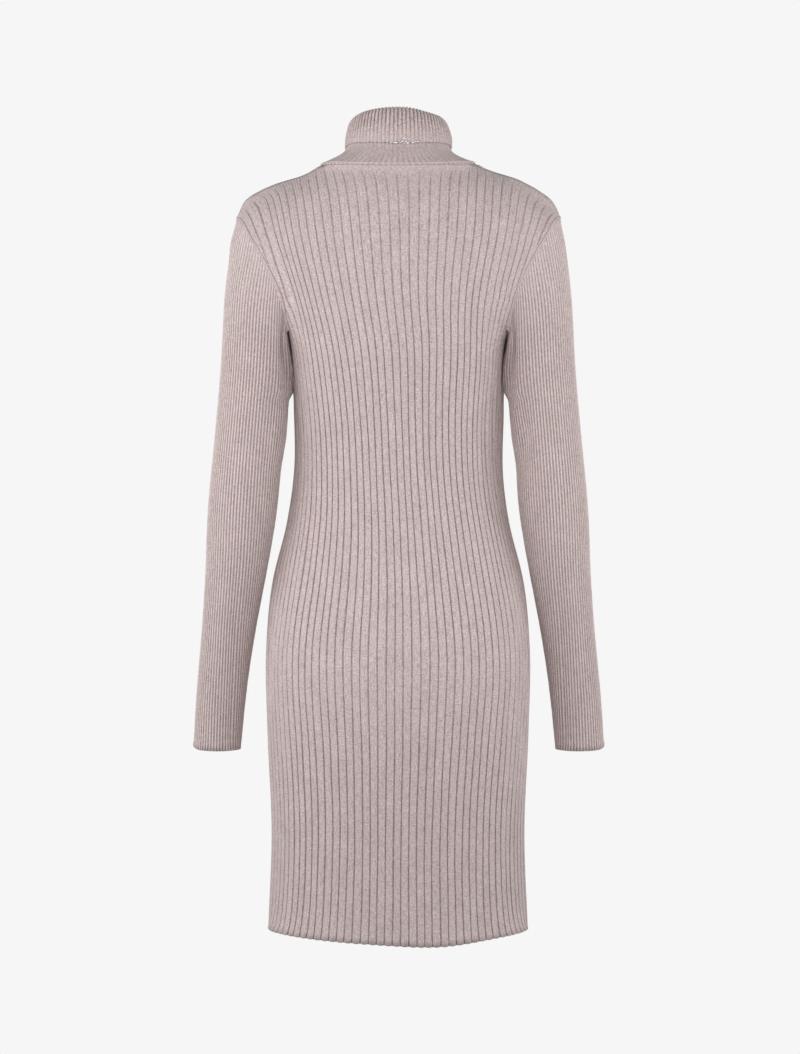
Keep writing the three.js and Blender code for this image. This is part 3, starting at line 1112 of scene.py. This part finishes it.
    def knit(self) -> None:
        """Works out the panel's cloth."""
        lines = np.arange(-EDGE_RIBS, EDGE_RIBS + 1, dtype=float)
        rows, ribs = [], []
        table = RIB_ROWS[self.side]
        for level in self.levels():
            row = self.rib_row(level.z)
            across = squeezed(lines, (row.left, row.right), KEPT_RIBS, EDGE_RIBS)[0]
            rows.append(self.section(level, self.shares(across, row)))
            ribs.append((row.left, row.right))
        low, row = rows[-1], table[-2]
        across = squeezed(lines, (row.left, row.right), KEPT_RIBS, EDGE_RIBS)[0]
        high = self.top_edge(across, row)
        for climb in OVER_SHOULDER:
            rows.append(on_bend(low, high, SHOULDER_BEND, climb))
            ribs.append((row.left, row.right))
        net = np.stack(rows)
        places, wanted = spaced_rows(net, self.row_step, self.fewest_rows)
        points = relaxed(curve_through(net, places, wanted), self.smoothing, False)
        left, right = (np.interp(wanted, places, ends) for ends in zip(*ribs))
        offsets = np.array(self.columns)
        fine = np.concatenate([(lines[:-1, None] + 0.5 + offsets).ravel(), [lines[-1]]])
        points = curve_through(points.transpose(1, 0, 2), lines, fine).transpose(1, 0, 2)
        across = squeezed(fine, (left, right), KEPT_RIBS, EDGE_RIBS)
        from_edge = np.minimum(left[:, None] - across, right[:, None] + across)
        from_hem = np.clip((points[..., 2] - points[0, :, 2]) / self.hem_reach, 0, 1)
        points[..., 2] -= self.hem_sag * (1 - from_hem) ** 2 * np.cos(math.pi * fine / EDGE_RIBS)
        points[0, :, 2] += self.hem_scallop * groove_shape(across[0] + 0.5, self.scallop_half)
        points[..., 0] += self.swaying(across, from_edge, wanted)
        along = np.broadcast_to(wanted[:, None], across.shape)
        self.cloth = Cloth(points, across, along, self.fading(points, across[-1]), False)
        self.shape_ribs(from_edge)

    def rib_row(self, z: float) -> RibRow:
        """Reads how the ribs lie at a height.

        Args:
            z: The height.

        Returns:
            The row of ribs there.
        """
        rows = RIB_ROWS[self.side][:-1]
        heights = [row.z for row in rows]
        left, right, spread = (
            np.interp(z, heights, [getattr(row, key) for row in rows])
            for key in ("left", "right", "spread")
        )
        return RibRow(z, left, right, spread)

    def swaying(self, across: np.ndarray, from_edge: np.ndarray, along: np.ndarray) -> np.ndarray:
        """Gives the small sideways wander of each rib.

        Args:
            across: Places across the ribs, rows by columns.
            from_edge: Ribs between each place and the panel's nearest edge.
            along: Places along the ribs, one for each row.

        Returns:
            The moves across, none at the panel's edges.
        """
        chance = np.random.default_rng(self.seed + self.side.value)
        total = np.zeros_like(across)
        for wave in self.sway_waves:
            phases = chance.uniform(0, math.tau, 2 * EDGE_RIBS + 5)
            rib = np.interp(across, np.arange(-EDGE_RIBS - 2, EDGE_RIBS + 3), phases)
            total += np.sin(rib + along[:, None] / wave * math.tau) * math.sqrt(wave)
        return total * self.sway * np.clip((from_edge - self.still_edge) / self.still_fade, 0, 1)

    def fading(self, points: np.ndarray, top: np.ndarray) -> np.ndarray:
        """Gives how strongly the ribs stand out and how dark their grooves are painted, a painted
        shade: less near the neckline and over the shoulders.

        Args:
            points: The panel's points, rows by columns.
            top: The top row's places, counted in ribs.

        Returns:
            The strengths, rows by columns.
        """
        steps = np.linalg.norm(np.diff(points, axis=0), axis=-1)
        below = np.concatenate([np.cumsum(steps[::-1], axis=0)[::-1], np.zeros((1, len(top)))])
        from_middle = np.abs(self.shares(top, RIB_ROWS[self.side][-1]))
        on_shoulder = np.clip((from_middle - self.shoulder_start) / self.shoulder_growth, 0, 1)
        length = self.neck_fade + (self.shoulder_fade - self.neck_fade) * on_shoulder
        share = np.clip((below - self.neck_band) / length, 0, 1)
        heights, strengths = np.array(RIB_STRENGTHS).T
        return share * share * (3 - 2 * share) * np.interp(points[..., 2], heights, strengths)

    def shape_ribs(self, from_edge: np.ndarray) -> None:
        """Sinks the grooves, the seams and the creases into the cloth, and makes the painted shade in
        the grooves stronger towards the panel's sides.

        Args:
            from_edge: Ribs between each point and the panel's nearest edge.
        """
        points, across, relief = self.cloth.points, self.cloth.across, self.cloth.relief
        normals = grid_normals(points, False)
        if np.sum(normals[..., 1]) * self.side.value < 0:
            normals = -normals
        start = len(points) - 1 - np.argmax(points[::-1, -1, 2] < ARMHOLE_LEVELS[self.side][0].z)
        self.armhole = points[start:, -1].copy()
        self.armhole_normals = normals[start:, -1].copy()
        inside = np.clip((from_edge - self.plain_edge) / self.plain_fade, 0, 1)
        sink = groove_shape(across + 0.5, self.groove_half) * self.groove * relief * inside
        sink += self.crown * (2 * np.abs(across - np.round(across))) ** 2 * relief
        sink += self.seam_dip * np.exp(-((from_edge / self.dip_width) ** 2))
        sink += pressed(points, normals)
        # The painted shade in the grooves grows towards the panel's sides; the sunk grooves stay as
        # they are.
        towards_side = np.abs(across / EDGE_RIBS) ** 3
        self.cloth.relief = relief * inside * (1 + self.side_shade * towards_side)
        self.cloth.points = points - normals * sink[..., None]

    def build(self) -> bpy.types.Object:
        """Makes the panel's piece."""
        name = f"{self.side.name.lower()}_panel"
        cloth = self.cloth
        facing = np.zeros_like(cloth.points)
        facing[..., 1] = self.side.value
        piece = show(f"{name}_knit", cloth.mesh(f"{name}_knit", facing), self.finish)
        thicken(piece, self.wall, -1.0)
        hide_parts(name)
        return piece


def pressed(points: np.ndarray, normals: np.ndarray) -> np.ndarray:
    """Gives how deep the creases press each point in.

    Args:
        points: Points on the cloth.
        normals: Directions out of the cloth.

    Returns:
        The depths, none where the cloth faces away from the crease's side.
    """
    depth = np.zeros(points.shape[:-1])
    for crease in CREASES:
        across, along = points[..., 0] - crease.x, points[..., 2] - crease.z
        seen = np.clip(normals[..., 1] * crease.side.value * CREASE_TURN, 0, 1)
        fade = np.exp(-((along / crease.length) ** 4) - (across / crease.width) ** 2)
        depth += crease.depth * fade * seen
    return depth


@dataclass
class Sleeve:
    """A long fine-rib sleeve, from its armhole to its cuff.

    Attributes:
        arm: The arm that it holds.
        back: The back panel.
        front: The front panel.
        finish: Its material.
        wall: Thickness of the cloth.
        groove: Depth of the grooves between the ribs.
        seam_dip: Depth of the dip along the underarm seam.
        dip_width: How far that dip reaches, counted in ribs.
        row_step: About the longest step between two rows.
        fewest_rows: Fewest rows for each ring.
        smoothing: How often the points are evened out.
        columns_a_rib: Fine columns for each rib.
        fan: Share of the spacing round the armhole that is even; the rest gathers the ribs
            towards the shoulder.
        lean: Power by which the rest gathers them.
        cap_rise: Length over which the ribs rise beside the armhole's seam.
        cuff_rise: How far the cuff's outer corner is raised; the inner one rises half as far.
        cuff_round: Share of the cuff's half width that the corner takes.
        cuff_bow: How far the cuff's two sides are raised besides.
        cuff_reach: Height over which that fades.
        rest_width: Width over which the sag under the arm fades.
        cut: Width and length of the flat cut; not used.
        cut_area: Area of the flat cut; not used.
        outward: Directions out of the cloth.
        seam_line: Points along the armhole's seam.
        seam_normals: Directions out of the cloth at these points.
    """

    arm: Arm
    back: Panel
    front: Panel
    finish: bpy.types.Material
    wall: float = 0.0022
    groove: float = 0.0009
    seam_dip: float = 0.0006
    dip_width: float = 0.8
    row_step: float = 0.0078
    fewest_rows: int = 4
    smoothing: int = 10
    columns_a_rib: int = 6
    fan: float = 0.9
    lean: float = 2.2
    cap_rise: float = 0.006
    cuff_rise: float = 0.0044
    cuff_round: float = 0.30
    cuff_bow: float = 0.0016
    cuff_reach: float = 0.03
    rest_width: float = 0.036
    cut: tuple[float, float] = (0.280, 0.700)
    cut_area: float = 0.140
    outward: Optional[np.ndarray] = field(default=None, init=False)
    seam_line: Optional[np.ndarray] = field(default=None, init=False)
    seam_normals: Optional[np.ndarray] = field(default=None, init=False)

    def half_armhole(self, panel: Panel, shares: np.ndarray) -> tuple[np.ndarray, np.ndarray]:
        """Reads a panel's armhole edge.

        Args:
            panel: The panel.
            shares: Places along the edge, 0 at the shoulder and 1 at the underarm.

        Returns:
            The points and the directions out of the cloth.
        """
        line, normals = panel.armhole[::-1], panel.armhole_normals[::-1]
        lengths = arc_places(line)
        wanted = shares * lengths[-1]
        out = unit(read_line(normals, lengths, wanted))
        return read_line(line, lengths, wanted), out

    def ring(self, level: SleeveRing, shares: np.ndarray) -> np.ndarray:
        """Gives the points of a ring.

        Args:
            level: The ring.
            shares: Shares of the way round, 0 outside and 1 under the arm.

        Returns:
            The points.
        """
        angles = math.pi * shares
        x = (level.outer + level.inner) / 2 + (level.outer - level.inner) / 2 * np.cos(angles)
        y = level.y + level.half * np.sin(angles)
        return np.stack([x, y, np.full_like(x, level.z)], axis=-1)

    def start(self, shares: np.ndarray) -> np.ndarray:
        """Gives the ring that lies on the armhole.

        Args:
            shares: Shares of the way round, 0 at the shoulder and 1 under the arm.

        Returns:
            The points, a seam's gap off the panels' edges.
        """
        lowered = self.fan * np.abs(shares) + (1 - self.fan) * np.abs(shares) ** self.lean
        back, back_out = self.half_armhole(self.back, lowered)
        front, front_out = self.half_armhole(self.front, lowered)
        ends = (np.abs(shares) < 1e-9) | (np.abs(shares) > 1 - 1e-9)
        both = (back + front) / 2
        points = np.where((shares >= 0)[:, None], back, front)
        points = np.where(ends[:, None], both, points)
        out = unit(np.where((shares >= 0)[:, None], back_out, front_out))
        self.seam_normals = np.where(ends[:, None], unit(back_out + front_out), out)
        aim = unit(self.ring(SLEEVE_RINGS[0], shares) - points)
        return points + aim * TURNED_SEAM_GAP

    def knit(self) -> Cloth:
        """Works out the sleeve's cloth, for the left arm."""
        lines = np.arange(-SLEEVE_RIBS, SLEEVE_RIBS + 1, dtype=float)
        shares = lines / SLEEVE_RIBS
        first = self.start(shares)
        first_ring = self.ring(SLEEVE_RINGS[0], shares)
        under = np.clip((np.abs(shares) - 0.45) / 0.4, 0, 1)[:, None]
        cap = on_bend(first, first_ring, CAP_BEND, CAP_CLIMB)
        cap += (on_bend(first, first_ring, UNDERARM_BEND, CAP_CLIMB) - cap) * under
        rows = [first, cap]
        ribs = [SLEEVE_RIBS, SLEEVE_RIBS]
        for level in SLEEVE_RINGS:
            places = squeezed(lines, (level.ribs, level.ribs), SLEEVE_KEPT_RIBS, SLEEVE_RIBS)[0]
            rows.append(self.ring(level, places / level.ribs))
            ribs.append(level.ribs)
        net = np.stack(rows)
        places, wanted = spaced_rows(net, self.row_step, self.fewest_rows)
        points = relaxed(curve_through(net, places, wanted), self.smoothing, True)
        row_ribs = np.interp(wanted, places, ribs)
        fine = np.linspace(-SLEEVE_RIBS, SLEEVE_RIBS, 2 * SLEEVE_RIBS * self.columns_a_rib + 1)
        points = curve_through(points.transpose(1, 0, 2), lines, fine).transpose(1, 0, 2)
        across = squeezed(fine, (row_ribs, row_ribs), SLEEVE_KEPT_RIBS, SLEEVE_RIBS)
        self.seam_line = points[0].copy()
        self.seam_normals = curve_through(self.seam_normals, lines, fine)
        normals = grid_normals(points, True)
        middle = points.mean(axis=1, keepdims=True)
        if np.sum(normals * (points - middle)) < 0:
            normals = -normals
        from_edge = (row_ribs[:, None] - np.abs(across)) / self.dip_width
        risen = np.clip((wanted - wanted[0]) / self.cap_rise, 0.2, 1)[:, None]
        relief = risen * (1 - np.exp(-(from_edge**2)))
        heights, strengths = np.array(CAP_STRENGTHS).T
        relief = relief * np.interp(points[..., 2], heights, strengths)
        sink = groove_shape(across, 0.5) * self.groove * relief
        sink += self.seam_dip * np.exp(-(from_edge**2))
        sink += pressed(points, normals)
        points = points - normals * sink[..., None]
        points[..., 0] -= self.resting(points)
        points[..., 2] += self.lifting(points)
        self.outward = normals
        return Cloth(points, across, np.broadcast_to(wanted[:, None], across.shape), relief, True)

    def lifting(self, points: np.ndarray) -> np.ndarray:
        """Gives how far the cuff's edge rises towards its two sides.

        Args:
            points: The sleeve's points, rows by columns.

        Returns:
            The rises, none further up the sleeve.
        """
        middle = points[..., 0].mean(axis=1, keepdims=True)
        half = np.abs(points[..., 0] - middle).max(axis=1, keepdims=True)
        aside = (points[..., 0] - middle) / half
        height = np.clip(1 - (points[..., 2] - points[-1:, :, 2]) / self.cuff_reach, 0, 1) ** 2
        turn = np.clip((np.abs(aside) - 1 + self.cuff_round) / self.cuff_round, 0, 1)
        corner = 1 - np.sqrt(1 - turn**2)
        rise = self.cuff_rise * np.where(aside > 0, 1.0, 0.5)
        return (rise * corner + self.cuff_bow * aside**2) * height

    def resting(self, points: np.ndarray) -> np.ndarray:
        """Gives how far the sleeve's underarm side sags against the body below the armhole.

        Args:
            points: The sleeve's points, rows by columns.

        Returns:
            The moves towards the body.
        """
        heights, moves = np.array(SLEEVE_REST).T
        middle = points[..., 0].mean(axis=1, keepdims=True)
        inner = np.clip((middle - points[..., 0]) / self.rest_width, 0, 1) ** 2.5
        return np.interp(points[..., 2], heights, moves) * inner

    def build(self) -> bpy.types.Object:
        """Makes the sleeve's piece."""
        name = f"sleeve_{self.arm.name.lower()}"
        cloth = self.knit()
        to_arm = (self.arm.value, 1, 1)
        cloth.points = cloth.points * to_arm
        outward = self.outward * to_arm
        self.seam_line = self.seam_line * to_arm
        self.seam_normals = self.seam_normals * to_arm
        piece = show(f"{name}_knit", cloth.mesh(f"{name}_knit", outward), self.finish)
        thicken(piece, self.wall, -1.0)
        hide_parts(name)
        return piece


@dataclass
class Collar:
    """The rib collar: linked to the neckline, up inside its own flap and folded out over it.

    Attributes:
        back: The back panel.
        front: The front panel.
        finish: Its material.
        wall: Thickness of the cloth.
        groove: Depth of the grooves between the ribs.
        seat: Share of the way to the first ring at which the cloth starts; below zero it starts
            beyond the seam.
        seat_relief: How strongly the ribs stand out there, which also sets how dark their grooves are
            painted, a painted shade.
        rows_a_ring: Rows for each ring.
        columns_a_rib: Fine columns for each rib.
        scallop: How far the flap's edge waves down and up from rib to rib.
        cut: Width and length of the flat cut; not used.
        points: The cloth's points, once it is built.
        normals: Directions out of the cloth at these points.
        seam_line: Points along the neckline's seam.
    """

    back: Panel
    front: Panel
    finish: bpy.types.Material
    wall: float = 0.0021
    groove: float = 0.0014
    seat: float = -0.045
    seat_relief: float = 0.35
    rows_a_ring: int = 5
    columns_a_rib: int = 8
    scallop: float = 0.0007
    cut: tuple[float, float] = (0.380, 0.112)
    points: Optional[np.ndarray] = field(default=None, init=False)
    normals: Optional[np.ndarray] = field(default=None, init=False)
    seam_line: Optional[np.ndarray] = field(default=None, init=False)

    def ring(self, shape: CollarRing, angles: np.ndarray) -> np.ndarray:
        """Gives a ring's points.

        Args:
            shape: The ring.
            angles: Angles from the centre back.

        Returns:
            The points.
        """
        cosine = np.cos(angles)
        x = shape.x * np.sin(angles)
        y = (shape.back + shape.front) / 2 + (shape.back - shape.front) / 2 * cosine
        level = (shape.z_back + shape.z_front) / 2 - shape.z_side
        z = shape.z_side + (shape.z_back - shape.z_front) / 2 * cosine + level * cosine**2
        return np.stack([x, y, z], axis=-1)

    def neckline(self, angles: np.ndarray) -> np.ndarray:
        """Gives the points of both necklines.

        Args:
            angles: Angles from the centre back.

        Returns:
            The points.
        """
        behind = self.back.neckline(angles)
        before = self.front.neckline(np.sign(angles) * (math.pi - np.abs(angles)))
        return np.where((np.abs(angles) <= math.pi / 2)[:, None], behind, before)

    def build(self) -> bpy.types.Object:
        """Makes the collar's piece."""
        lines = np.linspace(-COLLAR_RIBS, COLLAR_RIBS, 2 * COLLAR_RIBS * self.columns_a_rib + 1)
        angles = math.pi * lines / COLLAR_RIBS
        rings = [self.ring(shape, angles) for shape in COLLAR_RINGS]
        seam = self.neckline(angles)
        net = np.stack([seam + (rings[0] - seam) * self.seat, *rings])
        steps = np.linalg.norm(np.diff(net, axis=0), axis=-1).mean(axis=1)
        places = np.concatenate([[0], np.cumsum(steps)])
        wanted = row_places(places, [self.rows_a_ring] * len(steps))
        points = curve_through(net, places, wanted)
        strengths = [self.seat_relief, *(shape.relief for shape in COLLAR_RINGS)]
        relief = np.interp(wanted, places, strengths)
        across = np.broadcast_to(lines[None, :], points.shape[:2])
        normals = grid_normals(points, True)
        if np.sum(normals[0] * (points[0] - points[0].mean(axis=0))) < 0:
            normals = -normals
        depth = (groove_shape(across, 0.5) - 0.5) * self.groove * relief[:, None]
        points = points - normals * depth[..., None]
        last = np.clip((wanted - places[-2]) / steps[-1], 0, 1)[:, None]
        points[..., 2] -= self.scallop * last**2 * (1 - 2 * groove_shape(across, 0.5))
        along = np.broadcast_to(wanted[:, None], across.shape)
        strength = np.broadcast_to(np.abs(relief)[:, None], across.shape)
        self.points, self.normals = points, normals
        self.seam_line = points[0] * 0.5 + points[1] * 0.5 + normals[0] * self.wall * 0.45
        cloth = Cloth(points, across, along, strength, True)
        piece = show("collar_knit", cloth.mesh("collar_knit", normals), self.finish)
        thicken(piece, self.wall, 0.0)
        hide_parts("collar")
        return piece


@dataclass
class LinkingSeam:
    """A linked seam: one yarn's chain of loops all round the line where two pieces meet.

    Attributes:
        name: The piece's name.
        line: Points along the seam.
        normals: Directions out of the cloth at these points.
        finish: The yarn's material.
        radius: Half of the yarn's thickness.
        loop: Length of one loop of the chain.
        sides: Faces round the yarn.
        loop_rings: Rings of points for each loop.
        flat: Thickness of the yarn as a share of its width.
    """

    name: str
    line: np.ndarray
    normals: np.ndarray
    finish: bpy.types.Material
    radius: float = 0.0008
    loop: float = 0.0026
    sides: int = 6
    loop_rings: int = 4
    flat: float = 0.75

    def build(self) -> bpy.types.Object:
        """Makes the seam's piece."""
        lengths = arc_places(self.line)
        count = int(lengths[-1] / self.loop) * self.loop_rings
        wanted = np.linspace(0, lengths[-1], count + 1)
        line = curve_through(self.line, lengths, wanted)
        out = unit(curve_through(self.normals, lengths, wanted))
        along = unit(np.gradient(line, axis=0))
        beside = unit(np.cross(along, out))
        turns = np.linspace(0, math.tau, self.sides + 1)
        swell = self.radius * (0.8 + 0.35 * np.abs(np.sin(wanted / self.loop * math.pi)))
        spread = beside[:, None] * np.cos(turns)[None, :, None]
        rise = out[:, None] * np.sin(turns)[None, :, None] * self.flat
        points = line[:, None] + (spread + rise) * swell[:, None, None]
        points[-1] = points[0]
        across = np.broadcast_to(turns / math.tau, points.shape[:2])
        places = np.broadcast_to(wanted[:, None], points.shape[:2])
        cloth = Cloth(points, across, places, np.ones(points.shape[:2]), True)
        outward = points - line[:, None]
        piece = show(self.name, cloth.mesh(self.name, outward), self.finish)
        return piece


@dataclass
class BeadRow:
    """The short row of small silver beads on the flap's edge, at the centre back.

    Attributes:
        collar: The collar that carries them.
        finish: The beads' material.
        start: Width place of the first bead.
        end: Width place of the last bead.
        count: How many beads there are.
        radii: Radii that take turns.
        lift: Height of the row above the flap's edge.
        wander: How far a bead may lie off its place, along each axis.
        seat: How far behind the flap's edge a bead's middle lies, besides half its radius.
        seed: Start of the random draws.
    """

    collar: Collar
    finish: bpy.types.Material
    start: float = 0.0078
    end: float = -0.0222
    count: int = 15
    radii: tuple[float, ...] = (0.0014, 0.0010, 0.0012)
    lift: float = 0.0004
    wander: tuple[float, float, float] = (0.0003, 0.0002, 0.0008)
    seat: float = 0.0018
    seed: int = 5

    def build(self) -> bpy.types.Object:
        """Makes the row's piece."""
        edge = self.collar.points[-1]
        behind = edge[:, 1] > 0
        order = np.argsort(edge[behind, 0])
        x, y, z = (edge[behind][order, i] for i in range(3))
        chance = np.random.default_rng(self.seed)
        row = bmesh.new()
        for index, place in enumerate(np.linspace(self.start, self.end, self.count)):
            radius = self.radii[index % len(self.radii)]
            bead = bmesh.ops.create_icosphere(row, subdivisions=2, radius=radius)
            spot = Vector((place, np.interp(place, x, y), np.interp(place, x, z)))
            wander = Vector(chance.uniform(-1, 1, 3) * self.wander)
            out = Vector((0, self.seat + radius * 0.5, self.lift))
            bmesh.ops.translate(row, vec=spot + wander + out, verts=bead["verts"])
        mesh = mesh_from("bead_row", row)
        mesh.polygons.foreach_set("use_smooth", [True] * len(mesh.polygons))
        piece = show("bead_row", mesh, self.finish)
        return piece


@dataclass(frozen=True)
class SoftBox:
    """A plain square light.

    Attributes:
        name: The light's name.
        place: Where it stands.
        size: Its width and height.
        power: Its power in watts.
    """

    name: str
    place: tuple[float, float, float]
    size: float
    power: float


@dataclass(frozen=True)
class Studio:
    """The camera, the lights, the pale surroundings and the floor.

    Attributes:
        distance: From the camera to the dress's middle plane.
        eye: Width place and height of the camera.
        seen: Height of what the picture shows in the dress's middle plane.
        sensor: The camera's longer side.
        floor_height: Height of the floor, which is out of the picture.
        floor_radius: Radius of the floor.
        floor_fade: Radii between which the floor fades out.
        ambient: Strength of the surroundings' light.
        pale: Colour of the surroundings and the floor.
        boxes: The lights.
    """

    distance: float = 2.8
    eye: tuple[float, float] = (-0.0023, -0.4164)
    seen: float = 1.2226
    sensor: float = 36.0
    floor_height: float = -1.35
    floor_radius: float = 1.4
    floor_fade: tuple[float, float] = (0.6, 1.35)
    ambient: float = 0.34
    pale: Colour = (0.922, 0.922, 0.922, 1)
    boxes: tuple[SoftBox, ...] = (
        SoftBox("key_left", (0.72, 1.10, -0.25), 0.7, 6.3),
        SoftBox("key_right", (-0.64, 1.10, -0.25), 0.7, 5.45),
        SoftBox("front_key", (0.10, -1.25, -0.25), 0.8, 9.5),
        SoftBox("side_left", (1.6, 0.45, -0.12), 1.2, 14),
        SoftBox("side_right", (-1.6, 0.45, -0.12), 1.2, 11.5),
    )

    def camera(self) -> None:
        """Sets the camera up behind the dress, at the height of its middle."""
        camera = bpy.data.cameras.new("camera")
        camera.sensor_width = self.sensor
        camera.lens = self.sensor * self.distance / self.seen
        holder = placed("camera", camera)
        holder.location = (self.eye[0], self.distance, self.eye[1])
        holder.rotation_euler = (math.pi / 2, 0, math.pi)
        bpy.context.scene.camera = holder

    def lights(self) -> None:
        """Sets up the soft lights, all turned to the dress's middle."""
        middle = Vector(DRESS_MIDDLE)
        for box in self.boxes:
            light = bpy.data.lights.new(box.name, "AREA")
            light.size = box.size
            light.energy = box.power
            holder = placed(box.name, light)
            holder.location = box.place
            holder.visible_camera = False
            holder.rotation_euler = (middle - holder.location).to_track_quat("-Z", "Y").to_euler()

    def surroundings(self) -> None:
        """Makes the pale surroundings, which also light the dress from all sides."""
        scene = bpy.context.scene
        scene.view_settings.view_transform = "Standard"
        scene.view_settings.look = "None"
        world = bpy.data.worlds.new("surroundings")
        scene.world = world
        world.use_nodes = True
        tree = world.node_tree
        seen = tree.nodes["Background"]
        seen.inputs["Color"].default_value = self.pale
        lighting = tree.nodes.new("ShaderNodeBackground")
        lighting.inputs["Color"].default_value = self.pale
        lighting.inputs["Strength"].default_value = self.ambient
        rays = tree.nodes.new("ShaderNodeLightPath")
        chooser = tree.nodes.new("ShaderNodeMixShader")
        tree.links.new(rays.outputs["Is Camera Ray"], chooser.inputs[0])
        tree.links.new(lighting.outputs[0], chooser.inputs[1])
        tree.links.new(seen.outputs[0], chooser.inputs[2])
        tree.links.new(chooser.outputs[0], tree.nodes["World Output"].inputs["Surface"])

    def floor(self) -> None:
        """Lays a pale floor that fades into the surroundings."""
        disc = bmesh.new()
        bmesh.ops.create_circle(disc, cap_ends=True, segments=96, radius=self.floor_radius)
        bmesh.ops.translate(disc, vec=(0, 0, self.floor_height), verts=disc.verts[:])
        mesh = mesh_from("floor", disc)
        floor = placed("floor", mesh)
        graph = Graph("pale_floor")
        place = graph.node("ShaderNodeTexCoord", None, None, "Object")
        out = graph.node("ShaderNodeVectorMath", {"operation": "LENGTH"}, {0: place}, "Value")
        graph.feed("Alpha", 1 - out.ramp(*self.floor_fade))
        graph.fix(Base_Color=self.pale, Roughness=0.9)
        mesh.materials.append(graph.material)


def main() -> None:
    """Builds the dress and its studio."""
    logging.basicConfig(level=logging.INFO, format="%(name)s: %(message)s")
    studio = Studio()
    studio.camera()
    studio.surroundings()
    studio.lights()
    studio.floor()
    body = RibFinish("body_rib").material()
    # The sleeve rib is painted paler all over by its lift, a painted light; the sleeve and collar
    # ribs get strong painted shade in their grooves.
    fine = RibFinish("sleeve_rib", pitch=0.0037, phase=0, wales=1, groove=0.42, shade=0.92, lift=0.27)
    ring = RibFinish("collar_rib", pitch=0.0048, phase=0, wales=1, groove=0.42, shade=1.0)
    yarn = LinkingYarn().material()
    back, front = Panel(Side.BACK, body), Panel(Side.FRONT, body)
    back.knit()
    front.knit()
    back.build()
    front.build()
    fine_ribs = fine.material()
    for arm in Arm:
        sleeve = Sleeve(arm, back, front, fine_ribs)
        sleeve.build()
        name = f"armhole_seam_{arm.name.lower()}"
        LinkingSeam(name, sleeve.seam_line, sleeve.seam_normals, yarn).build()
    collar = Collar(back, front, ring.material())
    collar.build()
    LinkingSeam("neckline_seam", collar.seam_line, collar.normals[0], yarn).build()
    BeadRow(collar, SilverBead().material()).build()
    LOG.info("sizes written")


if __name__ == "__main__":
    main()
